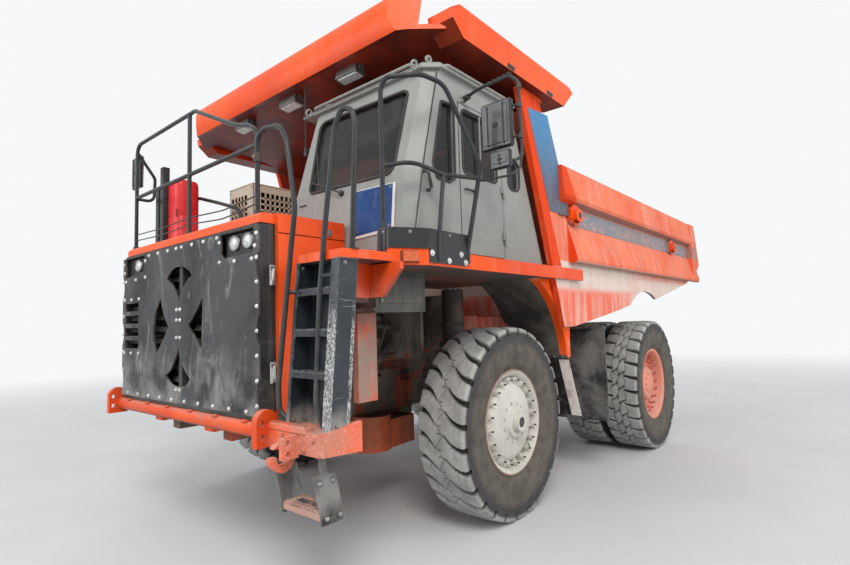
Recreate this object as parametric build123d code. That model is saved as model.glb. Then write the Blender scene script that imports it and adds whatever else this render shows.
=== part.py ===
from build123d import *
import math
import os

os.makedirs("parts", exist_ok=True)

# Quarry dump truck. Millimetres, Z up, +X the truck's left (driver's) side, -Y forwards.
# Forms are drawn with x = 0 at the frame's middle and y = 0 at the front axle, and moved to
# the shared origin on export.

# Driving dimensions
ORIGIN_X = 210         # shared origin, in the middle of the box with the mirrors
ORIGIN_Y = 1975
WHEELBASE = 3500
TYRE_R = 900           # out to the lug tips
GROOVE_D = 45
RIM_R = 483            # rim flange
FRONT_TYRE_W = 500
FRONT_TYRE_X = 1640    # middle of the front tyre
REAR_TYRE_W = 480
REAR_TYRE_X = 1880     # middle of the outer rear tyre
DUAL_PITCH = 585       # between the twin tyres' middles
KING_X = 1150          # kingpin and front strut
STRUT_R = 115
RAIL_X = 460           # frame rail's middle
RAIL_W = 140
RAIL_Z0 = 960
RAIL_Z1 = 1380
HOP_Z = 1640           # frame rail's top over the rear axle
NOSE_Y = -2360         # front face of the guard sheets
BOX_X = 1212           # half width of the grille's frame
BOX_Z0 = 1245
BOX_Z1 = 2616
HOOD_X = 1250
HOOD_Z = 2700
HOOD_Y1 = -1565        # rear of the nose
DECK_X = 2100
DECK_Z0 = 2280
DECK_Z1 = 2400
CAB_X0 = 420
CAB_X1 = 1960
CAB_Z1 = 3990
CAB_WALL = 60
GLASS_T = 8
GAP = 8                # between a moving piece and its neighbour
BODY_X = 2040          # side plate's outer face
BODY_RAIL_X = 2140     # outer face of the body's box rails
BODY_T = 40
BODY_TOP = 3520
TAIL_Y = 6480
PIVOT_Y = 4600
PIVOT_Z = 1760
PIVOT_R = 60
CANOPY_Y = -1378
CANOPY_Z0 = 4275       # underside behind the lip
HOIST_X = 760
HOIST_LOW = (2500, 600)
HOIST_TOP = (2200, 1920)
PIPE_R = 21
SEAT = 0.3             # running clearance at a pin, shaft or seat


def brick(x, y, z):
    """Block from three (low, high) pairs."""
    b = Box(x[1] - x[0], y[1] - y[0], z[1] - z[0])
    return Pos((x[0] + x[1]) / 2, (y[0] + y[1]) / 2, (z[0] + z[1]) / 2) * b


def face(points, place, corner=0):
    """Closed face. A point (a, b) ends a line, and (am, bm, a, b) ends an arc through (am, bm)."""
    edges = []
    here = place(*points[0][-2:])
    for p in points[1:] + points[:1]:
        end = place(*p[-2:])
        if len(p) == 4:
            edges.append(ThreePointArc(here, place(*p[:2]), end))
        elif end != here:
            edges.append(Line(here, end))
        here = end
    flat = make_face(edges)
    if corner:
        flat = fillet(flat.vertices(), radius=corner)
    return flat


def slab_x(outline, x0, x1, corner=0):
    """Plate from (y, z) points, thick along X."""
    flat = face(outline, lambda y, z: (x0, y, z), corner)
    return extrude(flat, amount=x1 - x0, dir=(1, 0, 0))


def slab_y(outline, y0, y1, corner=0):
    """Plate from (x, z) points, thick along Y."""
    flat = face(outline, lambda x, z: (x, y0, z), corner)
    return extrude(flat, amount=y1 - y0, dir=(0, 1, 0))


def slab_z(outline, z0, z1, corner=0):
    """Plate from (x, y) points, thick along Z."""
    flat = face(outline, lambda x, y: (x, y, z0), corner)
    return extrude(flat, amount=z1 - z0, dir=(0, 0, 1))


def disc_x(x0, x1, y, z, r, r_in=0):
    """Round along X, with a bore if r_in is given."""
    d = Cylinder(r, x1 - x0)
    if r_in:
        d -= Cylinder(r_in, x1 - x0 + 2)
    return Pos((x0 + x1) / 2, y, z) * Rot(0, 90, 0) * d


def rod(p, q, r, r_in=0):
    """Round bar from p to q."""
    p, q = Vector(*p), Vector(*q)
    d = Cylinder(r, (q - p).length)
    if r_in:
        d -= Cylinder(r_in, (q - p).length + 2)
    return Plane(origin=(p + q) / 2, z_dir=q - p) * d


def pipe(points, r=PIPE_R):
    """Bent pipe with mitred corners."""
    start = Plane(origin=points[0], z_dir=Vector(*points[1]) - Vector(*points[0]))
    return sweep(start * Circle(r), path=Polyline(*points), transition=Transition.RIGHT)


def ring(profile, x):
    """Solid of revolution about X from (along, radius) points, its middle at x."""
    return revolve(face(profile, lambda a, r: (x + a, r, 0)), axis=Axis.X)


def both(shape):
    """The shape and its mirror image on the other side of the truck."""
    return [shape, mirror(shape, about=Plane.YZ)]


def join(*shapes):
    """One fused shape from shapes and lists of shapes."""
    flat = []
    for s in shapes:
        flat += list(s) if isinstance(s, (list, tuple)) else [s]
    whole = flat[0]
    for s in flat[1:]:
        whole = whole + s
    return whole


def lie(frac, p, q):
    """Point on the line from p to q."""
    return tuple(a + (b - a) * frac for a, b in zip(p, q))


def save(name, *shapes):
    """One node as STEP, moved to the shared origin."""
    whole = Pos(-ORIGIN_X, -ORIGIN_Y, 0) * join(*shapes)
    export_step(Compound(children=list(whole.solids())), f"parts/{name}.step")


# Chassis

AXLE_Z = TYRE_R
REAR_Y = WHEELBASE
RAIL_IN = RAIL_X - RAIL_W / 2
RAIL_OUT = RAIL_X + RAIL_W / 2
RAIL_Y0 = NOSE_Y + 200
HOP_Y = REAR_Y - 600                  # where the rail is fully raised
HOP_D = 330
FRAME_END = PIVOT_Y + 260
PIN_R = 45                            # hoist pins
EYE_W = 60                            # half width of a hoist's eye

rail_side = [
    (RAIL_Y0, RAIL_Z0),
    (HOP_Y - 600, RAIL_Z0),
    (HOP_Y, HOP_Z - HOP_D),
    (FRAME_END, HOP_Z - HOP_D),
    (FRAME_END, HOP_Z + 80),
    (PIVOT_Y - 500, HOP_Z),
    (HOP_Y, HOP_Z),
    (HOP_Y - 800, RAIL_Z1 + 120),
    (600, RAIL_Z1),
    (RAIL_Y0, RAIL_Z1),
]
rail = slab_x(rail_side, RAIL_IN, RAIL_OUT)
rail += slab_x(
    [
        (PIVOT_Y - 170, HOP_Z - 60),
        (PIVOT_Y + 170, HOP_Z - 60),
        (PIVOT_Y + 90, PIVOT_Z + 30),
        (PIVOT_Y, PIVOT_Z + 115, PIVOT_Y - 90, PIVOT_Z + 30),
    ],
    RAIL_X - RAIL_W / 4,
    RAIL_X + RAIL_W / 4,
)
rail -= disc_x(RAIL_IN, RAIL_OUT, PIVOT_Y, PIVOT_Z, PIVOT_R + SEAT)
rail += disc_x(RAIL_OUT - 10, HOIST_X - 80, *HOIST_LOW, 95)
rail += slab_x(
    [
        (HOIST_LOW[0] - 150, RAIL_Z0 + 90),
        (HOIST_LOW[0] + 150, RAIL_Z0 + 90),
        (HOIST_LOW[0] + 90, HOIST_LOW[1] - 30),
        (HOIST_LOW[0], HOIST_LOW[1] - 130, HOIST_LOW[0] - 90, HOIST_LOW[1] - 30),
    ],
    RAIL_X - 20,
    RAIL_OUT,
)
rail += disc_x(HOIST_X - 80, HOIST_X + 80, *HOIST_LOW, PIN_R)
# Tower that carries the front strut
TOWER_Z = 2150
rail += slab_y(
    [
        (RAIL_OUT - 5, RAIL_Z0 + 40),
        (RAIL_OUT - 5, TOWER_Z),
        (KING_X, TOWER_Z),
        (KING_X, TOWER_Z - 250),
        (RAIL_OUT + 180, RAIL_Z1 + 120),
    ],
    -70,
    70,
)
rail -= rod((KING_X, 0, AXLE_Z + 100), (KING_X, 0, TOWER_Z + 150), STRUT_R)
save("frame_rails", both(rail))

# y, z, half height, half depth of the members between the rails
members = []
for y, z, h, d in (
    (RAIL_Y0 + 260, 1170, 120, 70),
    (450, 1170, 130, 90),
    (HOP_Y - 1000, 1230, 130, 90),
    (HOP_Y + 50, HOP_Z - 160, 110, 80),
    (PIVOT_Y - 60, HOP_Z - 160, 110, 90),
):
    members.append(brick((-RAIL_IN, RAIL_IN), (y - d, y + d), (z - h, z + h)))
members = join(members)
save("frame_members", members)

# Front struts: outer barrels on the frame's towers
BARREL_Z0 = AXLE_Z + 340
BARREL_Z1 = TOWER_Z + 50
ROD_R = 85
strut = rod((KING_X, 0, BARREL_Z0), (KING_X, 0, BARREL_Z1), STRUT_R)
strut -= rod((KING_X, 0, BARREL_Z0 - 5), (KING_X, 0, BARREL_Z1 - 60), ROD_R + SEAT)
save("front_struts", both(strut))

# Knuckle: strut rod, upright, steering arm and spindle
SPINDLE_R = 120
SPINDLE_X = FRONT_TYRE_X + 60
knuckle = rod((KING_X, 0, AXLE_Z - 120), (KING_X, 0, BARREL_Z1 - 100), ROD_R)
knuckle += brick((KING_X - 120, KING_X + 120), (-130, 130), (AXLE_Z - 200, AXLE_Z + 150))
knuckle += disc_x(KING_X + 100, SPINDLE_X, 0, AXLE_Z, SPINDLE_R)
knuckle += slab_z([(KING_X - 110, 60), (KING_X - 20, 60), (KING_X - 40, 420),
                   (KING_X - 65, 445, KING_X - 90, 420)], AXLE_Z - 190, AXLE_Z - 120)
for side, shape in zip(("left", "right"), both(knuckle)):
    save(f"knuckle_{side}", shape)

# Rear axle: banjo housing with coned tubes and the nose tube to the frame
REAR_INNER_X = REAR_TYRE_X - DUAL_PITCH
AXLE_END = REAR_TYRE_X - 60
TUBE_R = 190
BANJO_R = 340
half_axle = [
    (0, 0),
    (AXLE_END, 0),
    (AXLE_END, TUBE_R),
    (700, TUBE_R),
    (300, BANJO_R - 60),
    (250, BANJO_R - 20, 0, BANJO_R),
]
rear_axle = join(both(Pos(0, REAR_Y, AXLE_Z) * ring(half_axle, 0)))
rear_axle += rod((0, REAR_Y - 300, AXLE_Z), (0, HOP_Y - 950, AXLE_Z + 280), 120)
save("rear_axle", rear_axle - members)
STRUT_TOP = (REAR_Y + 330, HOP_Z - 140)
rear_strut = rod((800, *STRUT_TOP), (800, REAR_Y + 170, AXLE_Z + 110), 90)
rear_strut += rod((RAIL_OUT, *STRUT_TOP), (890, *STRUT_TOP), 70)
rear_strut -= disc_x(0, 2000, REAR_Y, AXLE_Z, TUBE_R)
save("rear_struts", both(rear_strut))


# Wheels

LUGS = 16              # along each shoulder
GROOVE_W = 70


def tyre(w, x):
    """Tyre with shoulder grooves between its lugs, about the X axis."""
    h = w / 2
    shape = ring(
        [
            (-h + 60, RIM_R - 20),
            (-h, RIM_R + 160),
            (-h, TYRE_R - GROOVE_D),
            (-h, TYRE_R),
            (h, TYRE_R),
            (h, TYRE_R - GROOVE_D),
            (h, RIM_R + 160),
            (h - 60, RIM_R - 20),
        ],
        x,
    )
    cuts = []
    for i in range(2 * LUGS):
        ends = (x + 20, x + h) if i % 2 else (x - h, x - 20)
        groove = brick(ends, (-GROOVE_W / 2, GROOVE_W / 2), (TYRE_R - GROOVE_D, TYRE_R + 20))
        cuts.append(Rot(180 * i / LUGS, 0, 0) * groove)
    return shape - cuts


def rim_base(w):
    """Barrel under a tyre's bead, as (along, radius) points."""
    h = w / 2 - 60
    return [(-h, RIM_R - 60), (-h, RIM_R - 20), (h, RIM_R - 20), (h, RIM_R - 60)]


HUB_X = 200            # wheel disc's outer face from the front tyre's middle
front_rim = join(
    ring(rim_base(FRONT_TYRE_W), FRONT_TYRE_X),
    ring(
        [
            (HUB_X - 50, 0),
            (HUB_X - 50, 300),
            (60, RIM_R - 123),
            (60, RIM_R - 55),
            (110, RIM_R - 55),
            (HUB_X, RIM_R - 153),
            (HUB_X, 150),
            (HUB_X + 30, 140),
            (HUB_X + 30, 90),
            (HUB_X + 90, 80),
            (HUB_X + 90, 35),
            (HUB_X + 70, 30),
            (HUB_X + 70, 0),
        ],
        FRONT_TYRE_X,
    ),
    ring(
        [
            (-60, SPINDLE_R + SEAT),
            (-60, 200),
            (HUB_X - 49, 200),
            (HUB_X - 49, SPINDLE_R + SEAT),
        ],
        FRONT_TYRE_X,
    ),
)
rear_rim = join(
    ring(rim_base(REAR_TYRE_W), REAR_TYRE_X),
    ring(rim_base(REAR_TYRE_W), REAR_INNER_X),
    ring(
        [
            (-DUAL_PITCH + 150, RIM_R - 110),
            (-DUAL_PITCH + 150, RIM_R - 55),
            (40, RIM_R - 55),
            (40, RIM_R - 110),
        ],
        REAR_TYRE_X,
    ),
    ring(
        [
            (-20, 0),
            (-20, TUBE_R + SEAT),
            (-200, TUBE_R + SEAT),
            (-200, TUBE_R + 40),
            (-20, TUBE_R + 60),
            (-20, RIM_R - 105),
            (20, RIM_R - 105),
            (20, 230),
            (110, 200),
            (110, 90),
            (130, 80),
            (130, 0),
        ],
        REAR_TYRE_X,
    ),
)
rear_tyres = join(tyre(REAR_TYRE_W, REAR_TYRE_X), tyre(REAR_TYRE_W, REAR_INNER_X))
for name, y, shape in (
    ("tyre_front", 0, tyre(FRONT_TYRE_W, FRONT_TYRE_X)),
    ("rim_front", 0, front_rim),
    ("tyres_rear", REAR_Y, rear_tyres),
    ("rims_rear", REAR_Y, rear_rim),
):
    for side, piece in zip(("left", "right"), both(Pos(0, y, AXLE_Z) * shape)):
        save(f"{name}_{side}", piece)


# Nose: orange housing with its lid, black grille frame and the two guard sheets

GUARD_D = 160
GRILLE_Y = NOSE_Y + 14
SHEET_Y = (NOSE_Y, GRILLE_Y)
NOSE_CUT = (NOSE_Y - 5, GRILLE_Y + 5)
HOOD_Y0 = NOSE_Y + GUARD_D
SEAM_Z = 2555
hood_box = brick((-HOOD_X, HOOD_X), (HOOD_Y0, HOOD_Y1), (BOX_Z0, HOOD_Z))
hood_box -= brick((-HOOD_X + 40, HOOD_X - 40), (HOOD_Y0 + 40, HOOD_Y1 + 5), (BOX_Z0 - 5, HOOD_Z - 40))
hood_box -= brick((-700, 700), (NOSE_Y, HOOD_Y0 + 50), (BOX_Z0 + 150, BOX_Z1 - 150))
for x in (-HOOD_X - 5, HOOD_X - 15):
    hood_box -= brick((x, x + 20), (HOOD_Y0 - 5, HOOD_Y1 + 5), (SEAM_Z - 5, SEAM_Z + 5))
hood_box += slab_x([(HOOD_Y0 + 5, BOX_Z1 + 8), (NOSE_Y + 30, BOX_Z1 + 8), (NOSE_Y + 30, HOOD_Z - 25),
                    (NOSE_Y + 55, HOOD_Z), (HOOD_Y0 + 5, HOOD_Z)], -BOX_X, BOX_X)
save("hood_box", hood_box)

SLATS = 12
SLAT_H = 45
grille = brick((-BOX_X, BOX_X), (GRILLE_Y, HOOD_Y0), (BOX_Z0 - 30, BOX_Z1))
grille -= brick((-BOX_X + 30, BOX_X - 30), (NOSE_Y, HOOD_Y0 + 5), (BOX_Z0, BOX_Z1 - 30))
for i in range(SLATS):
    z = BOX_Z0 + 60 + i * (BOX_Z1 - BOX_Z0 - 160) / (SLATS - 1)
    grille += slab_x([(GRILLE_Y + 46, z), (GRILLE_Y + 52, z), (GRILLE_Y + 76, z + SLAT_H),
                      (GRILLE_Y + 70, z + SLAT_H)], -BOX_X + 28, BOX_X - 28)
grille += brick((-30, 30), (GRILLE_Y + 8, GRILLE_Y + 78), (BOX_Z0 - 10, BOX_Z1 - 20))
save("grille", grille)

# Cut-outs of the sheets as (x, z) points; points of four are arcs
SHEET_X = 1245
left_sheet = brick((4, SHEET_X), SHEET_Y, (BOX_Z0, BOX_Z1 - 20))
right_sheet = brick((-SHEET_X, -4), SHEET_Y, (BOX_Z0, BOX_Z1 - 20))
sheets = join(left_sheet, right_sheet)
top_hole = [(0, 2100), (90, 2230, 250, 2310), (140, 2385, 0, 2410), (-140, 2390, -235, 2315),
            (-85, 2230, 0, 2100)]
low_hole = [(0, 1730), (75, 1580, 225, 1460), (125, 1400, 0, 1388), (-130, 1405, -240, 1470),
            (-80, 1590, 0, 1730)]
side_hole = [(-190, 1900), (-290, 2010, -355, 2155), (-500, 1920, -440, 1660),
             (-290, 1790, -190, 1900)]
other_hole = [(180, 1905), (300, 2000, 430, 2130), (415, 1700), (290, 1810, 180, 1905)]
lamp_hole = [(720, 2590), (1180, 2590), (1180, 2400), (760, 2400), (720, 2440)]
for hole in (top_hole, low_hole, side_hole, other_hole, lamp_hole):
    sheets -= slab_y(hole, *NOSE_CUT)
sheets -= slab_y([(-x, z) for x, z in lamp_hole], *NOSE_CUT)
for z in (1700, 1820, 1940, 2060):
    sheets -= brick((-1180, -850), NOSE_CUT, (z, z + 80))
# Wavy outer edges
WAVE = 450
WAVE_D = 35
wave_r = (WAVE * WAVE / 16 + WAVE_D * WAVE_D) / (2 * WAVE_D)
for i in range(3):
    z = BOX_Z0 + 150 + i * WAVE
    for side in (-1, 1):
        x = side * (SHEET_X + wave_r - WAVE_D)
        sheets -= rod((x, NOSE_CUT[0], z), (x, NOSE_CUT[1], z), wave_r)
save("guard_panels", sheets)

LAMP_Z = 2490
LAMP_R = 58
FRAME_IN = BOX_X - 30
lamps = [brick((730, FRAME_IN), (GRILLE_Y + 24, GRILLE_Y + 46), (LAMP_Z - 95, LAMP_Z + 90))]
lamps += [mirror(lamps[0], about=Plane.YZ)]
for x in (830, 1030, -960):
    lamps.append(rod((x, GRILLE_Y + 4, LAMP_Z), (x, GRILLE_Y + 25, LAMP_Z), LAMP_R))
save("headlamps", lamps)

save("engine", brick((-RAIL_IN, RAIL_IN), (-1750, -300), (RAIL_Z0 + 150, DECK_Z0 - 40)))
HUMP_X = 130
hood_rear = brick((-700, 400), (HOOD_Y1, 300), (DECK_Z0 - 20, HOOD_Z))
hood_rear += slab_x([(HOOD_Y1, HOOD_Z - 1), (HOOD_Y1, 3160), (HOOD_Y1 + 60, 3220), (300, 3220),
                     (300, HOOD_Z - 1)], HUMP_X, 400)
hood_rear -= brick((-660, 360), (HOOD_Y1 - 5, 340), (DECK_Z0 - 80, HOOD_Z - 40))
save("hood_rear", hood_rear)

# Bumper: cross tube, box with a serrated tread, tow plates, and a hook on its plate
BUMP_Z0 = 1070
BUMP_Z1 = BOX_Z0 - 35
BUMP_Y = NOSE_Y + 40
TOW_X = (1300, 1360)
TOW_Y = NOSE_Y - 48
TOW_ZS = (1130, 1220)
TOW_R = 22
bumper = rod((-TOW_X[0], BUMP_Y, 1150), (TOW_X[0], BUMP_Y, 1150), 58)
PANEL = (1820, 1940)    # ladder's outer plate, whose foot stands on the box
BOX_END = PANEL[1] + 2
box_side = [(1360, BUMP_Z0), (BOX_END - 18, BUMP_Z0), (BOX_END, BUMP_Z0 + 20), (BOX_END, BUMP_Z1 - 20),
            (BOX_END - 18, BUMP_Z1), (1360, BUMP_Z1)]
bumper += slab_y(box_side, NOSE_Y - 20, NOSE_Y + 280)
bumper += slab_x([(NOSE_Y - 22, BUMP_Z0 + 5), (NOSE_Y + 300, BUMP_Z0 - 15), (NOSE_Y + 300, BUMP_Z1 + 40),
                  (NOSE_Y + 240, BUMP_Z1 + 40), (NOSE_Y - 22, BUMP_Z1 + 4)], BOX_END - 1, BOX_END + 20)
for i in range(7):
    x = 1560 + 36 * i
    bumper += brick((x, x + 16), (NOSE_Y - 10, NOSE_Y + 45), (BUMP_Z1 - 2, BUMP_Z1 + 16))
bumper += join(both(brick((RAIL_IN, RAIL_OUT), (BUMP_Y, RAIL_Y0), (1060, 1200))))
tow = slab_x([(TOW_Y - 42, 1060), (TOW_Y + 125, 1060), (TOW_Y + 125, 1240),
              (TOW_Y + 42, 1310, TOW_Y - 42, 1240)], *TOW_X)
for z in TOW_ZS:
    tow -= disc_x(TOW_X[0] - 5, TOW_X[1] + 5, TOW_Y, z, TOW_R)
HOOK_Y = NOSE_Y - 100
HOOK_Y1 = NOSE_Y - 20 - SEAT           # the hook and its plate are bolted on the box's front
plate = brick((1690, 1725), (HOOK_Y - 40, HOOK_Y1), (1050, 1190))
for z in (1085, 1155):
    plate -= disc_x(1685, 1730, HOOK_Y, z, 14)
hook = disc_x(1600, 1650, HOOK_Y + 20, 1050, 92, 48)
hook -= brick((1595, 1655), (HOOK_Y - 90, HOOK_Y + 20), (1060, 1110))
hook += brick((1600, 1650), (HOOK_Y + 10, HOOK_Y1), (1098, 1160))
hook -= brick((1595, 1655), (HOOK_Y1, NOSE_Y + 60), (BUMP_Z0 - SEAT, 1165))
bumper = join(bumper, both(tow))
save("front_bumper", bumper, plate, hook)

# Step hung below the bumper's box: two leaning plates on narrow straps, and the tread between
STEP_Y = (NOSE_Y - 20, NOSE_Y + 150)
STRAP_Y = (NOSE_Y + 40, NOSE_Y + 90)
STEP_T = 12
hang = []
for x in (1440, 1840):
    strap = [(x, BUMP_Z0), (x + STEP_T, BUMP_Z0), (x + STEP_T, 1000), (x + STEP_T + 22, 930),
             (x + 22, 930), (x, 1000)]
    plate = [(x + 16, 950), (x + 16 + STEP_T, 950), (x + 103 + STEP_T, 680), (x + 103, 680)]
    hang += [slab_y(strap, *STRAP_Y), slab_y(plate, *STEP_Y)]
tread = brick((1540, 1945), (STEP_Y[0] + 10, STEP_Y[1] - 10), (695, 745))
tread -= brick((1590, 1890), (STEP_Y[0] + 60, STEP_Y[1] - 60), (690, 750))
hang = join(hang)
save("hanging_step", hang + tread)

# Ladder up to the left deck; its foot stands on the bumper's box
LAND_Z = (2300, 2360)
FOOT = (NOSE_Y + 40, BUMP_Z1)
HEAD = (NOSE_Y + 140, LAND_Z[0])
STRING = (1497, 1515)


def leaning(x0, x1, d0, d1):
    """Ladder plate between x0 and x1, from d0 to d1 behind the ladder's front line."""
    line = [(FOOT[0] + d0, FOOT[1]), (FOOT[0] + d1, FOOT[1]), (HEAD[0] + d1, HEAD[1]),
            (HEAD[0] + d0, HEAD[1])]
    return slab_x(line, x0, x1)


ladder = join(
    leaning(*STRING, 0, 160),
    leaning(*PANEL, 0, 160),
    leaning(STRING[1] - 1, PANEL[0] + 1, 148, 160),
)
for i in range(3):
    y, z = lie((i + 1.2) / 4, FOOT, HEAD)
    ladder += brick((STRING[1] - 1, PANEL[0] + 1), (y + 12, y + 150), (z, z + 28))
save("ladder", ladder)

# Decks with their posts; the left one carries the landing over the ladder
CHAMFER = 260
POST_X = BODY_X + 22    # outer face of the body's corner posts


def deck(side, inner):
    """Deck plate on one side, from the nose back, with a slot for the body's side plate."""
    x = side * DECK_X
    line = [(side * HOOD_X, -1760), (x - side * 140, -1760), (x, -1760 + CHAMFER),
            (x, 1180), (side * (POST_X + GAP), 1180), (side * (POST_X + GAP), 500),
            (side * (BODY_X - BODY_T - GAP), 500), (side * (BODY_X - BODY_T - GAP), 700),
            (inner, 700), (inner, HOOD_Y1), (side * HOOD_X, HOOD_Y1)]
    plate = slab_z(line, DECK_Z0, DECK_Z1)
    post = (1300, 1360) if side > 0 else (-1360, -1300)
    return plate + brick(post, (-1540, -1330), (1240, DECK_Z0))


deck_left = deck(1, 420)
deck_left += slab_z([(1497, HEAD[0] + 20), (1960, HEAD[0] + 20), (1990, -2000), (1990, -1755),
                     (1497, -1755)], *LAND_Z)
deck_left += slab_y([(1745, 2055), (1905, 2055), (2080, DECK_Z0 - 40), (2080, DECK_Z0 + 10),
                     (1745, DECK_Z0 + 10)], -1790, -1755)
deck_left += brick((1745, 1770), (HEAD[0] + 180, -1755), (2055, LAND_Z[0] + 5))
save("deck_left", deck_left)
save("deck_right", deck(-1, -700))

# Arch behind each front wheel: curved sheet, bright side plate and the flap below it.
# Its (y, z) line stands off the tyre by ARCH_GAP at its lower end.
ARCH_GAP = 50
FLAP_TOP = TYRE_R + ARCH_GAP
arch_line = [(285, DECK_Z0), (725, 1930, FLAP_TOP - 45, AXLE_Z + 560)]
arch_back = [(FLAP_TOP - 33, AXLE_Z + 560), (737, 1936, 299, DECK_Z0)]
arch = slab_x(arch_line + arch_back, 1700, 1985)
arch += slab_x(arch_line + [(FLAP_TOP - 10, AXLE_Z + 530), (FLAP_TOP + 40, AXLE_Z + 560),
                            (FLAP_TOP + 40, AXLE_Z + 700), (1020, DECK_Z0)], 1980, 1992)
arch += slab_x([(FLAP_TOP - 35, AXLE_Z + 580), (FLAP_TOP - 25, AXLE_Z + 580),
                (FLAP_TOP + 260, AXLE_Z - 120), (FLAP_TOP + 250, AXLE_Z - 120)], 1720, 1985)
save("fenders", both(arch))

# Orange drums with an upright axis below the rails' front, each with its arm
ARM_Z = (620, RAIL_Z0)
front_arm = Pos(600, -700, (ARM_Z[0] + ARM_Z[1]) / 2) * Cylinder(200, ARM_Z[1] - ARM_Z[0])
front_arm += slab_z([(440, -700), (760, -700), (700, -160), (440, -160)], ARM_Z[0], ARM_Z[1] - 60)
save("front_arms", both(front_arm))

# Handrails

RAIL_Y = HOOD_Y0 - 50
front_rail = join(
    pipe([(-1225, RAIL_Y, HOOD_Z), (-1225, RAIL_Y, 3760), (-1175, RAIL_Y, 3810),
          (60, RAIL_Y, 3810), (720, RAIL_Y, 3500), (980, RAIL_Y, 3410), (1060, RAIL_Y, 3330),
          (1060, RAIL_Y, HOOD_Z)]),
    pipe([(-1225, RAIL_Y, 3250), (1060, RAIL_Y, 3250)]),
    pipe([(-1225, RAIL_Y, 2800), (1060, RAIL_Y, 2800)], 9),
    pipe([(60, RAIL_Y, HOOD_Z), (60, RAIL_Y, 3810)]),
    pipe([(-1225, RAIL_Y, 3740), (-1225, RAIL_Y + 180, 3490), (-1225, RAIL_Y + 170, 3240),
          (-1225, RAIL_Y, 3240)], 16),
)
save("front_handrail", front_rail)

RAIL_FOOT = BUMP_Z1
HOOP_Y = -2280
inner_hoop = pipe([(1060, RAIL_Y, 3310), (1200, HOOP_Y, 3310), (1370, HOOP_Y, 3270),
                   (1470, HOOP_Y, 3180), (1550, HOOP_Y, 2815), (1570, HOOP_Y, 2670),
                   (1500, HOOP_Y - 5, 2245), (1420, HOOP_Y - 40, 1470), (1440, HOOP_Y - 40, 1340),
                   (1470, HOOP_Y - 15, RAIL_FOOT)])
outer_hoop = pipe([(1800, -2240, RAIL_FOOT), (1775, HOOP_Y, 1380), (1775, -2240, 2070),
                   (1800, -2200, 2590), (1855, -2160, 3190), (1895, -2130, 3305),
                   (1960, -2110, 3290), (2000, -2100, 3205), (1945, -2100, LAND_Z[1])])
save("ladder_handrails", join(inner_hoop - front_rail, outer_hoop - ladder) - deck_left - bumper)

# Rail round the cab's corner, flared outwards, with kick plates on the deck's edge
KICK_Z = 2570
EDGE_X = DECK_X + 6
corner_rail = join(
    pipe([(EDGE_X - 6, -1030, DECK_Z1), (2270, -1040, 3080), (2130, -1300, 3700),
          (2125, -1590, 3670), (1940, -1740, 3650), (1880, -1740, 3610), (1880, -1740, DECK_Z1)]),
    pipe([(1880, -1740, 3010), (2050, -1607, 3040), (2110, -1313, 2985), (2245, -1040, 2980)]),
    pipe([(2110, -1313, 2985), (2100, -1393, DECK_Z1)], 16),
)
kick = join(
    slab_z([(1640, -1766), (1966, -1766), (EDGE_X, -1500), (EDGE_X, -1020), (EDGE_X - 12, -1020),
            (EDGE_X - 12, -1494), (1957, -1754), (1640, -1754)], DECK_Z1, KICK_Z),
    brick((DECK_X + 0.5, EDGE_X + 6), (-1390, -1040), (DECK_Z0 + 10, DECK_Z1 + 20)),
)
save("cab_handrails", corner_rail + kick - deck_left)


# Cab

REAR_TOP_Y = -10
REAR_LOW_Y = 510
FRONT = [(-1560, DECK_Z1), (-1500, 3050), (-1262, 3830), (-1220, CAB_Z1 - 50)]
CORNER = 90            # chamfer on the front corners
W = CAB_WALL


def cab_block(inset, top, bottom):
    """Cab volume drawn in by inset from its outer walls."""
    line = [(y + inset, z) for y, z in FRONT]
    line[0] = (line[0][0], bottom)
    line[-1] = (line[-1][0], top)
    line += [(REAR_TOP_Y - 60 - inset, top), (REAR_TOP_Y - inset, 3880), (REAR_LOW_Y - inset, bottom)]
    block = slab_x(line, CAB_X0 + inset, CAB_X1 - inset)
    edges = []
    for e in block.edges():
        ends = e.vertices()
        upright = abs(ends[0].Z - ends[-1].Z) > 20
        if upright and max(v.Y for v in ends) < -1000:
            edges.append(e)
    return chamfer(edges, CORNER - inset / 2)


cab = cab_block(0, CAB_Z1 - 50, DECK_Z1) - cab_block(W, CAB_Z1 - 50 - W, DECK_Z1 + W)
roof = slab_z([(CAB_X0 - 110, -1262), (CAB_X1 - 80, -1262), (CAB_X1 + 40, -1150), (CAB_X1 + 40, 0),
               (CAB_X0 - 110, 0)], CAB_Z1 - 51, CAB_Z1)
roof = chamfer(roof.faces().sort_by(Axis.Z)[-1].edges(), 25)
cab += roof
for x in (CAB_X0 + 30, CAB_X1 - 70):
    cab += rod((x, -1190, CAB_Z1 + 28), (x + 18, -1190, CAB_Z1 + 28), 36, 18)
windshield = [(690, 3060), (1776, 3033), (1761, 3792), (583, 3826)]
rear_pane = [(620, 3150), (1760, 3150), (1760, 3760), (620, 3760)]
side_pane = [(-1050, 3150), (-150, 3150), (-150, 3760), (-1010, 3760)]
quarter_pane = [(-1262, 3130), (-1215, 3010), (-1040, 3005), (-960, 3050), (-955, 3690), (-1130, 3675)]
OVAL_Z = (3120, 3420)
oval_pane = [(-33, OVAL_Z[0]), (183, OVAL_Z[0]), (183, OVAL_Z[1]), (-33, OVAL_Z[1])]
oval_pane = [(y - 90, z) for y, z in oval_pane]
SEAM_Y = -235                          # rear edge of the door's opening
door_out = [(-900, 2430), (SEAM_Y, 2430), (SEAM_Y, 3740), (-900, 3740)]
door_in = [(-900 + GAP, 2430 + GAP), (SEAM_Y - GAP, 2430 + GAP), (SEAM_Y - GAP, 3740 - GAP),
           (-900 + GAP, 3740 - GAP)]
door_pane = [(-850, 3130), (-320, 3130), (-320, 3690), (-850, 3690)]
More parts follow.
